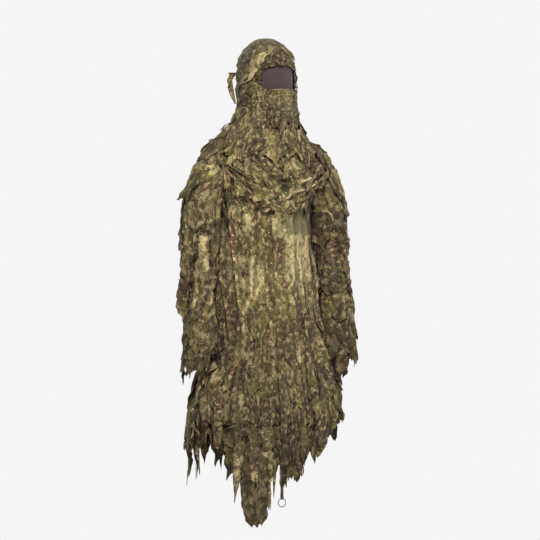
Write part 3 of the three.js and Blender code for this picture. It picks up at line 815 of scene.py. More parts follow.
TAN = srgb(154, 138, 100)
KHAKI = srgb(116, 103, 68)
MOSS = srgb(102, 95, 48)
OLIVE = srgb(76, 71, 38)
GREY_GREEN = srgb(82, 82, 55)
FADED_GREEN = srgb(90, 88, 60)
BROWN = srgb(72, 52, 36)
DARK = srgb(38, 30, 20)
HEM_SHADE_TONE = 0.62            # brightness of the hem's painted shade, as a share of the shoulders'
SHADE_UNDER_RAGS = 0.42         # the same for the cloth that the rags are sewn on: painted shade in the gaps between the rags
SHADE_FROM_Z = -0.38          # the painted shade deepens from here down to the hem
HOLLOW_TONE = 0.42              # brightness in the hollows between folds (painted shade) and on their ridges (painted highlight)
RIDGE_TONE = 1.42
JAG_SCALE = 150                 # of the noise that tears the patches' edges
WEAVE_SCALE = 260
THREAD_SCALE = 700              # of the noise that makes single threads lighter or darker

# The print: broad patches on khaki, then small flecks over them. Each row is a colour, the scale of
# its noise, where in the noise it starts, the threshold that sets how much it covers, and its strength.
BROAD_PATCHES = [
    (MOSS, 10, 0.0, 0.50, 1.0),
    (OLIVE, 12, 5.1, 0.53, 1.0),
    (TAN, 11, 17.9, 0.56, 1.0),
    (BROWN, 12, 23.7, 0.55, 1.0),
    (GREY_GREEN, 14, 11.3, 0.60, 1.0),
    (DARK, 16, 71.3, 0.62, 0.7),
]
FLECKS = [
    (KHAKI, 66, 31.3, 0.56, 0.8),
    (OLIVE, 60, 37.1, 0.56, 0.8),
    (BROWN, 72, 43.3, 0.585, 0.8),
    (TAN, 80, 61.3, 0.580, 0.9),
    (DARK, 92, 47.9, 0.62, 0.75),
]
# Cloth patches of another print on the front: two corners, the colour they tend to and how strongly.
# The flecks go over the first ones and under the last.
FRONT_PATCHES = [
    ((-0.004, -0.30, -0.405), (0.115, -0.05, -0.262), TAN, 0.85),
    ((-0.066, -0.30, -0.470), (-0.044, -0.05, -0.265), BROWN, 0.8),
    ((0.115, -0.30, -0.420), (0.175, -0.02, -0.235), BROWN, 0.7),
    ((-0.150, -0.30, -0.440), (-0.078, -0.02, -0.330), TAN, 0.6),
]
PLAIN_PATCH = ((0.004, -0.30, -0.260), (0.118, -0.05, -0.172), FADED_GREEN, 0.78)


def camouflage(name, tone, crumple, pale=0.0, hem_tone=HEM_SHADE_TONE, hollow_tone=HOLLOW_TONE,
               ridge_tone=RIDGE_TONE, patched=False):
    """Printed cloth: broad patches of colour, each broken up by small torn-edged flecks."""
    look = Look(name, roughness=0.93, sheen=0.02)
    place = look.on_print()
    jagged = look.wander(place, JAG_SCALE, 0.6, (0.012, 0.012, 0.0))
    here = look.on_object()

    def spots(colour, layers):
        for hue, scale, shift, threshold, strength in layers:
            moved = look.vector("ADD", jagged, (shift, -shift, shift * 2))
            upright = look.vector("MULTIPLY", moved, (1.0, 0.72, 1.0))
            cover = threshold - pale if hue == TAN else threshold
            mask = look.over(look.noise(upright, scale, 3.0, 0.68), cover, 0.015)
            colour = look.mix(look.maths("MULTIPLY", mask, strength), colour, hue)
        return colour

    def patches(colour, layers):
        for low, high, hue, strength in layers:
            colour = look.mix(look.maths("MULTIPLY", look.inside(here, low, high), strength), colour, hue)
        return colour

    colour = spots(KHAKI, BROAD_PATCHES)
    if patched:
        colour = patches(colour, FRONT_PATCHES)
    colour = spots(colour, FLECKS)
    if patched:
        colour = patches(colour, [PLAIN_PATCH])

    # Painted shade: the cloth grows darker from the set height down to the hem.
    height = look.add("SeparateXYZ", {0: here}).outputs["Z"]
    shade_towards_hem = look.add("MapRange", {"Value": height, "From Min": HEM_Z, "From Max": SHADE_FROM_Z,
                                  "To Min": hem_tone, "To Max": 1.0}).outputs["Result"]
    washed = look.maths("MULTIPLY_ADD", look.noise(place, 7, 3), 0.9 * tone, 0.55 * tone)
    thread = look.maths("MULTIPLY_ADD", look.noise(place, THREAD_SCALE), 0.4, 0.8)
    # Painted shade in the hollows of the folds and a painted highlight on their ridges, from the stored
    # relief.
    fold_shade_and_highlight = look.maths("MULTIPLY_ADD", look.stored(RELIEF, "Fac"), ridge_tone - hollow_tone, hollow_tone)
    shade = look.maths("MULTIPLY", look.maths("MULTIPLY", washed, thread), shade_towards_hem)
    colour = look.mix(1.0, colour, look.maths("MULTIPLY", shade, fold_shade_and_highlight), "MULTIPLY")

    normal = look.bump(look.weave(place, WEAVE_SCALE, "XY"), 0.25, 0.0004)
    lengthwise = look.vector("MULTIPLY", place, (1.0, 0.4, 1.0))
    normal = look.bump(look.noise(lengthwise, 60, 3, 0.6), crumple, 0.009, normal)
    return look.finish(colour, normal)


def net_look():
    look = Look("face_net_knit", roughness=0.9, sheen=0.1)
    place = look.on_print()
    holes = look.add("TexVoronoi", {"Vector": place, "Scale": 620, "Randomness": 0.35})
    hole = look.over(holes.outputs["Distance"], 0.42, 0.18)
    colour = look.mix(look.noise(place, 45, 3), srgb(52, 43, 42), srgb(74, 62, 59))
    # The holes are painted shade: the dark inside of the hood seen through the knit.
    colour = look.mix(hole, srgb(26, 21, 22), colour)
    return look.finish(colour, look.bump(hole, 0.5, 0.0008))


def ribbed_look():
    look = Look("cuff_elastic_rib", roughness=0.9, sheen=0.1)
    rib = look.wave(look.on_print(), 130, "X")
    # Painted shade in the grooves between the ribs, lighter on the ribs.
    return look.finish(look.mix(rib, srgb(52, 46, 30), srgb(92, 82, 55)), look.bump(rib, 0.8, 0.001))


def tape_look():
    look = Look("zip_tape_weave", roughness=0.9)
    place = look.on_object()
    colour = look.mix(look.noise(place, 300), srgb(70, 66, 45), srgb(92, 86, 60))
    return look.finish(colour, look.bump(look.weave(place, 420, "ZX"), 0.5, 0.0004))


def coil_look():
    look = Look("zip_coil_nylon", roughness=0.45)
    teeth = look.wave(look.on_object(), 300, "Z")
    # Painted shade in the gaps between the coil's teeth, lighter on the teeth.
    return look.finish(look.mix(teeth, srgb(34, 32, 22), srgb(78, 73, 52)), look.bump(teeth, 1.0, 0.0012))


def metal_look(name, dark, light, roughness):
    look = Look(name, roughness=roughness, metallic=1.0)
    place = look.on_object()
    colour = look.mix(look.over(look.noise(place, 260, 4, 0.65), 0.55, 0.12), dark, light)
    return look.finish(colour, look.bump(look.noise(place, 900), 0.15, 0.0003))


# The coat's cloth gets deeper painted shade towards the hem, where the rags hang over it.
COAT_PRINT = camouflage("coat_camouflage", 0.86, 0.28, hem_tone=SHADE_UNDER_RAGS, hollow_tone=0.50,
                        ridge_tone=1.34, patched=True)
SLEEVE_PRINT = camouflage("sleeve_camouflage", 0.72, 0.32)
HOOD_PRINT = camouflage("hood_camouflage", 0.42, 0.35)
COWL_PRINT = camouflage("cowl_camouflage", 0.64, 0.35)
RAG_PRINT = camouflage("rag_camouflage", 0.92, 0.34, hollow_tone=0.18, ridge_tone=1.75)
SHADY_RAG_PRINT = camouflage("shady_rag_camouflage", 0.68, 0.4, hollow_tone=0.26)
VEIL_PRINT = camouflage("veil_camouflage", 0.50, 0.3, pale=0.03)
STRIP_PRINT = camouflage("pale_strip_camouflage", 0.78, 0.4, pale=0.12)
NET = net_look()
ELASTIC = ribbed_look()
TAPE = tape_look()
COIL = coil_look()
LACQUER = metal_look("zip_lacquered_metal", srgb(44, 43, 38), srgb(92, 90, 82), 0.42)
BLACKENED_STEEL = metal_look("ring_blackened_steel", srgb(58, 57, 55), srgb(120, 118, 114), 0.32)

# ---- Cloth pieces ----
coat = coat_cloth()
hood = hood_cloth()
cowl = cowl_cloth()
sleeves = {name: sleeve_cloth(side) for name, side in SIDES}
veil = veil_cloth()
neck = neck_cloth()


def inside_sleeve(p):
    """True for points well inside a sleeve, where the coat's cloth is cut away."""
    x, y, radius = sleeve_ring(p[:, 2])
    distance = np.hypot(np.abs(p[:, 0]) - x, p[:, 1] - y)
    return (distance < radius - ARMHOLE_BITE) & (p[:, 2] < SHOULDER[2] + SHOULDER_RADIUS)


def cloth_left(c):
    """True where the coat has cloth: outside the sleeve heads and above its torn lower edge."""
    torn = 0.5 + 0.5 * np.clip(waves(c, 17, 0.10, 9.0, 5) + waves(c, 18, 0.03, 9.0, 5), -1, 1)
    beside_zip = np.where(c[:, 1] < 0, smoothstep(0.055, 0.085, np.abs(c[:, 0])), 1)
    return ~inside_sleeve(c) & (c[:, 2] > HEM_Z - COAT_CUT_BELOW + HEM_TEAR * torn * beside_zip)


def make_coat():
    def front(side):
        return lambda c: (c[:, 1] < 0) & (side * c[:, 0] > ZIP_HALF_GAP) & cloth_left(c)

    for name, node, seed, keep in [
        ("coat_front_left", "front_panel_left", 1, front(1)),
        ("coat_front_right", "front_panel_right", 2, front(-1)),
        ("coat_back", "back_panel", 3, lambda c: (c[:, 1] >= 0) & cloth_left(c)),
    ]:
        claim(cloth_piece(name, coat, COAT_PRINT, seed, keep), "coat", "coat_cloth", node)


def bend_with_sleeve(piece):
    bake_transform(piece)


def make_sleeve(name, side):
    piece = cloth_piece(f"sleeve_cloth_{name}", sleeves[name], SLEEVE_PRINT, 5 + side)
    claim(piece, None, "sleeve_cloth", f"sleeve_{name}")
    bend_with_sleeve(piece)


def in_face_window(c, grow=0.0):
    half = FACE_HALF + grow
    middle = (FACE_LOW + FACE_HIGH) / 2
    tall = (FACE_HIGH - FACE_LOW) / 2 + grow
    corner = FACE_CORNER + grow
    torn = 0.0022 * waves(c, 71, 0.016, 0.016)
    dx = np.maximum(np.abs(c[:, 0] + torn) - half + corner, 0)
    dz = np.maximum(np.abs(c[:, 2] + torn - middle) - tall + corner, 0)
    return (np.hypot(dx, dz) < corner) & (c[:, 1] < 0)


def make_hood():
    def under_chin(c):
        return (c[:, 1] <= 0) & (c[:, 2] <= FACE_LOW + FACE_CORNER)

    for name, node, seed, part in [
        ("hood_cloth_left", "hood_side_left", 8, lambda c: c[:, 0] >= GUSSET_HALF),
        ("hood_cloth_right", "hood_side_right", 9, lambda c: c[:, 0] <= -GUSSET_HALF),
        ("hood_cloth_crown", "hood_crown_gusset", 10,
         lambda c: (np.abs(c[:, 0]) < GUSSET_HALF) & ~under_chin(c)),
        ("hood_cloth_chin", "hood_chin_band", 11,
         lambda c: (np.abs(c[:, 0]) < GUSSET_HALF) & under_chin(c)),
    ]:
        piece = cloth_piece(name, hood, HOOD_PRINT, seed, lambda c: part(c) & ~in_face_window(c),
                            HOOD_THICKNESS)
        claim(piece, "hood", "hood_cloth", node)
    net_cloth = hood_cloth(NET_FOLD).pushed(np.full(hood.points.shape[:2], -NET_DEPTH))
    net = cloth_piece("face_net_panel", net_cloth, NET, 12, lambda c: in_face_window(c, NET_OVERLAP),
                      NET_THICKNESS)
    claim(net, "hood", "face_net", "face_net")


def make_cowl():
    for name, node, seed, keep in [
        ("cowl_drape_front", "cowl_front", 14, lambda c: c[:, 1] < 0),
        ("cowl_drape_back", "cowl_back", 15, lambda c: c[:, 1] >= 0),
    ]:
        claim(cloth_piece(name, cowl, COWL_PRINT, seed, keep), "coat", "cowl_cloth", node)


def make_neck():
    piece = cloth_piece("neck_drape", neck, COWL_PRINT, 23)
    claim(piece, None, "cowl_cloth")
    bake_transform(piece)


def make_veil():
    piece = cloth_piece("face_veil_cloth", veil, VEIL_PRINT, 17, thickness=VEIL_THICKNESS)
    claim(piece, "veil", "hood_cloth", "face_veil")


def make_cuff(name):
    low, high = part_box(f"cuff_{name}")
    x, y = (low.x + high.x) / 2, (low.y + high.y) / 2
    radius = (high.x - low.x) / 2

    def point_at(angle, z):
        ribbed = radius * (1 + 0.02 * np.sin(angle * 40))
        return np.stack([x + ribbed * np.sin(angle), y - ribbed * np.cos(angle), z], -1)

    cloth = ring_cloth(np.linspace(high.z + 0.012, low.z, CUFF_GRID[0]), CUFF_GRID[1], point_at)
    piece = cloth_piece(f"cuff_band_{name}", cloth, ELASTIC, 19, thickness=0.002)
    claim(piece, f"{name}_sleeve", "cuff_elastic", f"cuff_{name}")


# ---- Rags on each part ----
def hem_depths():
    """How low the hem's rags hang round the coat, from the CAD rags' own boxes."""
    places = []
    for name in HEM_NODES + ["hem_tail_front"]:
        low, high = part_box(name)
        x, y = (low.x + high.x) / 2, (low.y + high.y) / 2
        places.append((math.atan2(x / HEM_HALF, -y / HEM_DEPTH), low.z))
    places.sort()
    first, last = places[0], places[-1]
    places = [(last[0] - TURN, last[1])] + places + [(first[0] + TURN, first[1])]
    return np.array(places)


HEM_DEPTHS = hem_depths()


def hem_bottom(theta):
    return float(np.interp(theta, HEM_DEPTHS[:, 0], HEM_DEPTHS[:, 1]))


def angle_of(point):
    return math.atan2(point[0], -point[1])


def on_coat(levels, front):
    """Accepts places on one side of the coat between two heights, clear of sleeves, flap and cowl."""
    low, high = levels

    def accept(p):
        under_cowl = p[2] > float(cowl_edge(np.array(angle_of(p)))) + COWL_OVERLAP
        clear = not inside_sleeve(np.array([p]))[0] and not under_cowl
        on_flap = front and abs(p[0]) < CLEAR_OF_FLAP
        plain = front and abs(p[0]) < PLAIN_CHEST_HALF and p[2] > PLAIN_CHEST_Z
        return low < p[2] < high and (p[1] < 0) == front and clear and not on_flap and not plain
    return accept


def chest_style(rng, p):
    if rng.random() < 0.45:
        return None
    return dict(length=(0.06, 0.16), width=(0.025, 0.06), lift=(0.002, 0.004), flare=(0.0, 0.008),
                ridge=0.003, pointed=(0.2, 0.8))


def waist_style(rng, p):
    if rng.random() < 0.35:
        return None
    return dict(length=(0.10, 0.20), width=(0.025, 0.05), lift=(0.002, 0.005), flare=(0.0, 0.006),
                crinkle=0.15, ridge=0.004, pointed=(0.2, 0.8), lean=0.06)


def lap_style(rng, p):
    low = float(smoothstep(-0.45, -0.8, p[2]))
    room = p[2] - hem_bottom(angle_of(p))
    return dict(length=min(rng.uniform(0.20, 0.36), room), width=(0.026, 0.052), lift=(0.002, 0.009),
                flare=(0.001, 0.006 + 0.008 * low), ridge=(0.006, 0.010), pointed=(0.1, 0.7),
                crinkle=0.08, lean=0.05, sway=0.008)


def sleeve_style(rng, p):
    if rng.random() < 0.40:
        return None
    stands_out = rng.random() < 0.18
    return dict(length=(0.09, 0.20), width=(0.030, 0.070), lift=(0.001, 0.004), pointed=(0.1, 0.7),
                flare=0.030 if stands_out else 0.008, ridge=0.005, crinkle=0.15, lean=0.15)


def cowl_style(rng, p):
    short = 1 - 0.45 * abs(math.sin(angle_of(p)))
    return dict(length=rng.uniform(0.05, 0.13) * short, width=(0.025, 0.060), lift=(0.001, 0.006),
                flare=(0.0, 0.012), sway=0.02, lean=0.5, pointed=(0.1, 0.8))


def neck_style(rng, p):
    return dict(length=(0.05, 0.10), width=(0.02, 0.045), lift=0.0012, flare=(0.0, 0.008), lean=0.5,
                ridge=0.003, pointed=(0.2, 0.8))


def make_coat_rags():
    for name, seed, spacing, apart, levels, front, style, nodes in [
        ("rags_waist", 105, 0.070, 0.090, WAIST_LEVELS, True, waist_style, []),
        ("rags_chest", 101, 0.085, 0.110, CHEST_LEVELS, True, chest_style,
         ["chest_rag_right", "chest_rag_left"]),
        ("rags_lap", 102, 0.056, 0.115, LAP_LEVELS, True, lap_style,
         ["waist_rag_right", "waist_rag_left", "hip_rag_right", "hip_rag_left"]),
        ("rags_back_upper", 103, 0.075, 0.095, CHEST_LEVELS, False, chest_style,
         ["back_rag_upper_right", "back_rag_upper_left", "back_rag_middle"]),
        ("rags_back_lower", 104, 0.056, 0.115, LAP_LEVELS, False, lap_style,
         ["back_rag_lower_right", "back_rag_lower_left"]),
    ]:
        pile = pile_rags(seed, coat, spacing, apart, on_coat(levels, front), style)
        pile.build(name, RAG_PRINT, "coat", *nodes)


def make_cowl_rags():
    """Rags over the cowl and along its lower edge."""
    rows, columns = cowl.points.shape[:2]
    for name, seed, front in (("rags_cowl_front", 111, True), ("rags_cowl_back", 112, False)):
        pile = pile_rags(seed, cowl, 0.060, 0.050, lambda p: (p[1] < 0) == front, cowl_style)
        rng = pile.rng = np.random.default_rng(seed + 5)
        for k in range(COWL_FRINGE):
            column = (k + rng.uniform(0.1, 0.9)) / COWL_FRINGE * columns
            forward = math.cos(column / columns * TURN - math.pi)
            if (forward > 0) != front:
                continue
            deep = abs(forward)
            pile.sew(cowl, rows - rng.uniform(3, 14), column, length=0.035 + 0.075 * deep * rng.random(),
                     width=(0.025, 0.055), lift=0.004, flare=-0.010 * deep, ridge=0.004,
                     pointed=(0.3, 0.8), lean=0.3)
        pile.build(name, RAG_PRINT, "coat")


def make_neck_rags():
    pile = pile_rags(115, neck, 0.055, 0.040, lambda p: p[1] > -0.07 or abs(p[0]) > 0.07, neck_style)
    piece = pile.build("rags_neck", SHADY_RAG_PRINT, None)
    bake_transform(piece)


def make_sleeve_rags(name, side):
    cloth = sleeves[name]
    rows, columns = cloth.points.shape[:2]

    def accept(p):
        return side * p[0] > SLEEVE_RAGS_FROM_X and p[2] < SHOULDER[2] + 0.9 * SHOULDER_RADIUS

    pile = pile_rags(121 + side, cloth, 0.055, 0.065, accept, sleeve_style)
    rng = pile.rng = np.random.default_rng(171 + side)
    for layer in range(CUFF_RAG_LAYERS):
        for k in range(CUFF_RAGS):
            column = (k + rng.uniform(0.1, 0.9)) / CUFF_RAGS * columns
            pile.sew(cloth, rows - rng.uniform(8, 26), column, length=(0.09, 0.15), width=(0.035, 0.07),
                     lift=0.001 + 0.003 * layer, flare=(-0.004, 0.008), ridge=0.005,
                     pointed=(0.3, 0.8), twist=(-0.4, 0.4))
    nodes = [f"sleeve_rag_{place}_{name}" for place in ("upper", "elbow", "fore")]
    bend_with_sleeve(pile.build(f"rags_sleeve_{name}", SHADY_RAG_PRINT, None, *nodes))


def hood_place(theta_degrees, z):
    """The hood grid's row and column at an angle and height."""
    columns = hood.points.shape[1]
    column = (math.radians(theta_degrees) + math.pi) / TURN * columns
    heights = hood.points[:, int(column), 2]
    return float(np.interp(-z, -heights, np.arange(len(heights)))), column


def make_hood_rags():
    """Rags sewn to the hood: across its side and crown, down from its back, and round its neck."""
    rng = np.random.default_rng(131)
    pile = RagPile(rng)
    for theta, z, length, width, lift, flare, lean in [
        (-52, 0.262, 0.085, 0.030, 0.002, 0.004, 0.0),
        (-66, 0.285, 0.060, 0.026, 0.002, 0.003, 0.4),
        (-20, 0.318, 0.055, 0.028, 0.001, 0.002, 0.6),
        (15, 0.315, 0.045, 0.030, 0.001, 0.004, 0.6),
        (140, 0.270, 0.080, 0.026, 0.002, 0.008, 0.2),
        (70, 0.250, 0.070, 0.024, 0.002, 0.005, 0.4),
    ]:
        pile.sew(hood, *hood_place(theta, z), length=length, width=width, lift=lift, flare=flare,
                 lean=lean, ridge=0.003)
    for theta in np.arange(-172, 180, 24):
        if abs(theta) < 50:
            continue
        place = hood_place(theta + rng.uniform(-8, 8), rng.uniform(0.14, 0.22))
        pile.sew(hood, *place, length=(0.05, 0.09), width=(0.02, 0.04), lift=0.001, flare=(0.0, 0.006),
                 ridge=0.003, lean=0.3)
    pile.build("rags_hood", SHADY_RAG_PRINT, "hood")


def make_hood_side_strips():
    """Pale strips sewn slantwise over the hood's right side."""
    pile = RagPile(np.random.default_rng(137))
    for theta, z, length, width, slope in [
        (-54, 0.280, 0.105, 0.030, -0.62),
        (-47, 0.262, 0.080, 0.022, -0.75),
        (-24, 0.300, 0.060, 0.024, -0.95),
        (26, 0.315, 0.060, 0.026, 0.70),
    ]:
        pile.sew(hood, *hood_place(theta, z), length=length, width=width, lift=0.002, flare=0.004,
                 pointed=0.15, lean=0.0, slope=slope, ridge=0.003, crinkle=0.15)
    pile.build("hood_side_strips", STRIP_PRINT, "hood")


def make_hood_strip():
    """A torn strip that hangs clear of the back of the hood, held by its top corner."""
    rng = np.random.default_rng(133)
    outward = np.array([math.sin(LOOSE_ANGLE), -math.cos(LOOSE_ANGLE), 0.0])
    rows = []
    for t in np.linspace(0, 1, LOOSE_GRID[0]):
        z = LOOSE_TOP + (LOOSE_BOTTOM - LOOSE_TOP) * t
        skin = oval_point(LOOSE_ANGLE, np.array(z), HOOD_OVALS)
        inner = 0.009 * smoothstep(0.05, 0.25, t) + 0.004 * math.sin(5 * t)
        width = LOOSE_WIDTH * (1 - 0.55 * t) * rng.uniform(0.75, 1.1) * (1 - 0.5 * (t == 1))
        row = []
        for k in range(LOOSE_GRID[1]):
            curl = np.array([0, 0.003 * math.sin(k * 2 + 9 * t), 0])
            row.append(skin + outward * (inner + width * k / (LOOSE_GRID[1] - 1)) + curl)
        rows.append(row)
    grid = np.array(rows)
    pile = RagPile()
    pile.add(grid, np.stack([grid[..., 0] + 0.7, grid[..., 2], np.full(grid.shape[:2], 1.9)], -1))
    pile.build("hood_loose_strip", SHADY_RAG_PRINT, "hood")


def make_veil_rags():
    rng = np.random.default_rng(134)
    pile = RagPile(rng)
    rows, columns = veil.points.shape[:2]
    for k in range(VEIL_RAGS):
        pile.sew(veil, rows * rng.uniform(0.62, 0.90), columns * (k + 0.5) / VEIL_RAGS,
                 length=(0.040, 0.066), width=(0.018, 0.032), lift=0.002, flare=(-0.006, 0.003),
                 ridge=0.003, lean=0.5)
    pile.build("rags_veil", VEIL_PRINT, "veil")


def tube(centre, outward, beside, round_it, thick):
    """A grid of points round a line. outward and beside are its two half axes at each place."""
    ring = (outward[:, None] * np.cos(round_it)[None, :, None]
            + beside * np.sin(round_it)[None, :, None] * ROLL_WIDENING)
    return centre[:, None] + ring * thick


def make_cowl_roll():
    """The cowl's lower edge is turned into a thick, uneven roll."""
    outward = cowl.normals[-1]
    edge = cowl.points[-1] + outward * 0.002
    count = len(edge)
    round_it = np.linspace(0, TURN, 11)
    place = np.arange(count)
    thick = COWL_ROLL_RADIUS * (1 + 0.25 * np.sin(place * 0.31) + 0.2 * np.sin(place * 0.83 + 1))
    grid = tube(edge, outward, np.array([0, 0, 1.0]), round_it, thick[:, None, None])
    grid = np.concatenate([grid, grid[:1]])
    along = np.arange(count + 1)[:, None] * 0.0045 + 0 * round_it
    prints = np.stack([along, round_it * 0.005 + 0 * along, np.full_like(along, 6.3)], -1)
    pile = RagPile()
    pile.add(grid, prints)
    pile.build("cowl_rolled_edge", VEIL_PRINT, "coat")


def roll_along(cloth, path, radius, seed):
    """A rolled fold lying on a cloth. The path is a list of (angle in degrees, share of the way down)."""
    rows, columns = cloth.points.shape[:2]
    angles, shares = np.array(path, float).T
    steps = np.linspace(0, 1, 70)
    known = np.linspace(0, 1, len(path))
    angle = np.polyval(np.polyfit(known, angles, 2), steps)
    share = np.polyval(np.polyfit(known, shares, 2), steps)
    column = (np.radians(angle) + math.pi) / TURN * columns
    row = np.clip(share, 0, 1) * (rows - 1)
    centre = cloth.mix(cloth.points, row, column)
    outward = cloth.mix(cloth.normals, row, column)
    along = np.gradient(centre, axis=0)
    along /= np.linalg.norm(along, axis=1, keepdims=True)
    beside = np.cross(outward, along)
    round_it = np.linspace(0, TURN, 13)
    taper = np.clip(np.minimum(steps, 1 - steps) * 9, 0.15, 1)
    bumpy = 1 + 0.22 * waves(centre, seed, 0.03, 0.03)
    thick = (radius * taper * bumpy)[:, None, None]
    creased = 1 + 0.12 * np.sin(round_it * 4)[None, :, None]
    grid = tube(centre, outward * ROLL_FLATTENING, beside[:, None], round_it, thick * creased)
    length = np.linspace(0, 0.004 * len(steps), len(steps))[:, None] + 0 * round_it
    prints = np.stack([length + seed, round_it * radius + 0 * length, np.full_like(length, 0.1 * seed)], -1)
    # Painted highlight on the roll's outer face, fading to painted shade on the half that lies against the
    # cloth.
    relief = 0.25 + 0.5 * np.clip(np.cos(round_it), 0, 1) + 0 * length
    return grid, prints, relief


def make_cowl_swags():
    """Thick drooping rolls of cloth across the cowl's front and back."""
    pile = RagPile()
    for seed, (path, radius) in enumerate([
        ([(-78, 0.35), (-48, 0.62), (-22, 0.95)], 0.0075),
        ([(-95, 0.10), (-55, 0.40), (-12, 0.62)], 0.0065),
        ([(-30, 0.72), (8, 0.99), (46, 0.60)], 0.0080),
        ([(-42, 0.30), (5, 0.62), (62, 0.28)], 0.0060),
        ([(30, 0.85), (58, 0.55), (88, 0.20)], 0.0070),
        ([(125, 0.35), (180, 0.80), (235, 0.35)], 0.0070),
        ([(140, 0.10), (178, 0.45), (218, 0.12)], 0.0060),
    ], start=91):
        pile.add(*roll_along(cowl, path, radius, seed))
    pile.build("cowl_swag_rolls", VEIL_PRINT, "coat")


# ---- Hem ----
def make_hem():
    """Three layers of long torn strips round the hem, as deep as the frame's hem rags."""
    rng = np.random.default_rng(141)
    rows, columns = coat.points.shape[:2]
    front, back = RagPile(rng), RagPile(rng)
    for count, share, lift in HEM_LAYERS:
        for k in range(count):
            column = (k + rng.uniform(0.2, 0.8)) / count * columns
            theta = column / columns * TURN - math.pi
            over_zip = math.cos(theta) > 0 and abs(math.sin(theta)) < HEM_ZIP_REACH
            start = rng.uniform(*(HEM_START_OVER_ZIP if over_zip else HEM_START))
            row = rows - 1 - start / (coat.down[-1, 0] / rows)
            length = start + (HEM_Z - hem_bottom(theta)) * share * rng.uniform(0.75, 1.0)
            pile = front if math.cos(theta) > 0 else back
            pile.sew(coat, row, column, length=max(length, HEM_RAG_LEAST), width=(0.035, 0.085),
                     lift=lift, flare=(-0.012, 0.008), ragged=0.35, sway=0.010, ridge=(0.006, 0.010),
                     crinkle=0.10, lean=0.04, pointed=(0.15, 0.75), twist=(-0.5, 0.5),
                     tuck=HEM_TUCK * abs(math.sin(theta)))
    front_nodes = [n for n in HEM_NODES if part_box(n)[0].y < -0.05]
    back_nodes = [n for n in HEM_NODES if n not in front_nodes]
    front.build("hem_rags_front", RAG_PRINT, "coat", *front_nodes)
    back.build("hem_rags_back", RAG_PRINT, "coat", *back_nodes)


def make_front_tail():
    rng = np.random.default_rng(151)
    pile = RagPile(rng)
    rows, columns = coat.points.shape[:2]
    x = (TAIL_LOW.x + TAIL_HIGH.x) / 2
    y = (TAIL_LOW.y + TAIL_HIGH.y) / 2
    column = (math.atan2(x / HEM_HALF, -y / TAIL_DEPTH) + math.pi) / TURN * columns
    row = rows - TAIL_SEWN_ROWS
    length = HEM_Z - TAIL_LOW.z
    start = coat.down[-1, int(column)] - coat.down[row, int(column)]
    pile.sew(coat, row, column, length=length + start - 0.004, width=TAIL_WIDTH, lift=0.004, flare=0.0,
             deep=0.08, ragged=0.10, pointed=0.22, sway=0.01, ridge=0.010, crinkle=0.08, twist=0.25)
    for shift, share, width in TAIL_STRIPS:
        pile.sew(coat, row, column + shift, length=length * share + start, width=width,
                 lift=(0.008, 0.012), flare=0.003, deep=0.15, ragged=0.15, sway=0.012, ridge=0.007,
                 crinkle=0.08, twist=(-0.4, 0.4))
    pile.build("hem_front_tail", RAG_PRINT, "coat", "hem_tail_front")


def make_ring():
    outer = (RING_HIGH.x - RING_LOW.x) / 2
    wire = (RING_HIGH.y - RING_LOW.y) / 2
    bpy.ops.mesh.primitive_torus_add(major_radius=outer - wire, minor_radius=wire, major_segments=96,
                                     minor_segments=20, location=(RING_LOW + RING_HIGH) / 2,
                                     rotation=(math.pi / 2, 0, 0))
    ring = bpy.context.object
    ring.name = "hem_steel_ring"
    ring.data.name = "hem_steel_ring"
    bpy.ops.object.shade_smooth()
    ring.data.materials.append(BLACKENED_STEEL)
    claim(ring, "ring", "ring_steel", "hem_ring")


def make_ring_strap():
    """A narrow torn strip from the hem, folded through the ring and sewn back on itself."""
    rng = np.random.default_rng(161)
    low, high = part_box("ring_strap")
    x = (low.x + high.x) / 2
    y = (low.y + high.y) / 2
    behind = y - 0.0015
    fall = RING_HIGH.z - high.z + 0.008
    centre_z = RING_HIGH.z - (RING_HIGH.y - RING_LOW.y) / 2
    path = [(behind, high.z + 0.02)]
    for t in np.linspace(0, 1, 22):
        path.append((behind + 0.004 * math.sin(t * 5.0) * (1 - t), high.z + fall * t))
    for angle in np.linspace(math.pi, TURN, 10):
        path.append((y + STRAP_LOOP * math.cos(angle), centre_z + STRAP_LOOP * math.sin(angle)))
    for t in np.linspace(0, 1, 8):
        path.append((y + STRAP_LOOP * (1 - 0.6 * t), centre_z + 0.004 + 0.035 * t))
    rows = []
    for k, (py, pz) in enumerate(path):
        half = STRAP_HALF[k >= STRAP_WIDE_ROWS] * rng.uniform(0.85, 1.1)
        rows.append([(x + half * side, py, pz) for side in np.linspace(-1, 1, 5)])
    grid = np.array(rows)
    along = np.arange(len(path))[:, None] * 0.01 + np.zeros(5)
    pile = RagPile()
    pile.add(grid, np.stack([grid[..., 0] + 1.3, -along, np.full(grid.shape[:2], 0.4)], -1))
    pile.build("ring_strap_cloth", RAG_PRINT, "coat", "ring_strap")


# ---- Zip ----
def make_flap():
    rows, columns = FLAP_GRID
    cloth = flap_cloth()
    flap = cloth_piece("zip_flap_cloth", cloth, COAT_PRINT, 21, thickness=FLAP_THICKNESS)
    claim(flap, "flap", "coat_cloth", "zip_flap")
    rng = np.random.default_rng(62)
    pile = RagPile(rng)
    for level in FLAP_RAG_LEVELS:
        for share in (0.3, 0.72):
            if rng.random() < 0.4:
                continue
            row = (level + rng.uniform(-0.02, 0.02)) / cloth.down[-1, 0] * rows
            pile.sew(cloth, row, share * columns + rng.uniform(-2, 2),
                     length=min(rng.uniform(0.05, 0.12), cloth.down[-1, 0] - level),
                     width=(0.02, 0.034), lift=0.002, flare=0.004, sway=0.004)
    for share in FLAP_STRIPS:
        pile.sew(cloth, rows * rng.uniform(0.72, 0.95), share * columns, length=(0.17, 0.30),
                 width=(0.026, 0.040), lift=(0.001, 0.006), flare=-0.002, sway=0.006, ridge=0.006,
                 crinkle=0.10, pointed=0.4)
    pile.build("rags_flap", RAG_PRINT, "flap")


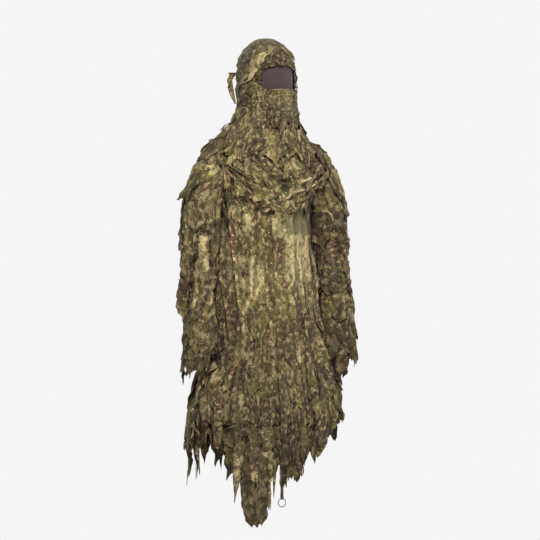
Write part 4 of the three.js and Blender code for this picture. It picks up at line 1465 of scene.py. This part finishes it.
def dress_zip():
    """The zip keeps its CAD pieces, with the look of woven tape, nylon coil and lacquered metal."""
    looks = {"zip_tape": TAPE, "zip_coil": COIL, "zip_top": LACQUER, "zip_bottom": LACQUER,
             "zip_slider": LACQUER, "zip_pull": LACQUER}
    for name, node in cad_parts.items():
        for start, look in looks.items():
            if name.startswith(start):
                node.data.materials.clear()
                node.data.materials.append(look)


make_neck()
make_coat()
make_hood()
make_cowl()
make_veil()
for side_name, side_sign in SIDES:
    make_cuff(side_name)
for side_name, side_sign in SIDES:
    make_sleeve(side_name, side_sign)
make_coat_rags()
make_cowl_rags()
make_cowl_roll()
make_cowl_swags()
make_neck_rags()
make_hood_rags()
make_hood_side_strips()
make_hood_strip()
make_veil_rags()
for side_name, side_sign in SIDES:
    make_sleeve_rags(side_name, side_sign)
make_hem()
make_front_tail()
make_ring()
make_ring_strap()
make_flap()
dress_zip()


# ---- Stage, light and camera ----
FLOOR_Z = -1.52
FLOOR_RADIUS = 2.9
VIEW_ANGLE = math.radians(-27)
VIEW_DISTANCE = 9.0
VIEW_HEIGHT = -0.372            # level camera, at the middle of the picture
VIEW_ASIDE = 0.015              # the camera stands this far to its own right of the coat's axis
PICTURE_HEIGHT = 1.674          # height of the picture at the coat
SENSOR = 36.0
LIT_POINT = Vector((0, 0, -0.3))
# Each light's place, size and power.
LIGHTS = {
    "key": ((-1.8, -3.4, 2.6), 1.6, 340),
    "fill": ((3.2, -2.2, 1.6), 2.5, 50),
    "rim": ((0.5, 3.4, 2.6), 2.0, 90),
}


def make_stage():
    bpy.ops.mesh.primitive_circle_add(vertices=128, radius=FLOOR_RADIUS, fill_type="NGON",
                                      location=(0, 0, FLOOR_Z))
    floor = bpy.context.object
    floor.name = "floor"
    look = Look("floor_pale", roughness=0.9)
    floor.data.materials.append(look.finish(srgb(206, 206, 204)))

    world = bpy.data.worlds.new("studio")
    bpy.context.scene.world = world
    world.use_nodes = True
    background = world.node_tree.nodes["Background"]
    background.inputs["Color"].default_value = srgb(245, 245, 245)
    background.inputs["Strength"].default_value = 1.0


def soft_light(name, location, size, power):
    light = bpy.data.lights.new(name, "AREA")
    light.shape = "DISK"
    light.size = size
    light.energy = power
    lamp = bpy.data.objects.new(name, light)
    bpy.context.scene.collection.objects.link(lamp)
    lamp.location = location
    lamp.rotation_euler = (LIT_POINT - Vector(location)).to_track_quat("-Z", "Y").to_euler()


def make_camera():
    camera_data = bpy.data.cameras.new("camera")
    camera_data.sensor_width = SENSOR
    camera_data.lens = SENSOR * VIEW_DISTANCE / PICTURE_HEIGHT
    camera = bpy.data.objects.new("camera", camera_data)
    bpy.context.scene.collection.objects.link(camera)
    across = Vector((math.cos(VIEW_ANGLE), math.sin(VIEW_ANGLE), 0)) * VIEW_ASIDE
    back = Vector((math.sin(VIEW_ANGLE), -math.cos(VIEW_ANGLE), 0)) * VIEW_DISTANCE
    camera.location = back + across + Vector((0, 0, VIEW_HEIGHT))
    camera.rotation_euler = (math.pi / 2, 0, VIEW_ANGLE)
    bpy.context.scene.camera = camera


make_stage()
for light_name, (place, size, power) in LIGHTS.items():
    soft_light(light_name, place, size, power)
make_camera()
bpy.context.scene.view_settings.view_transform = "Standard"
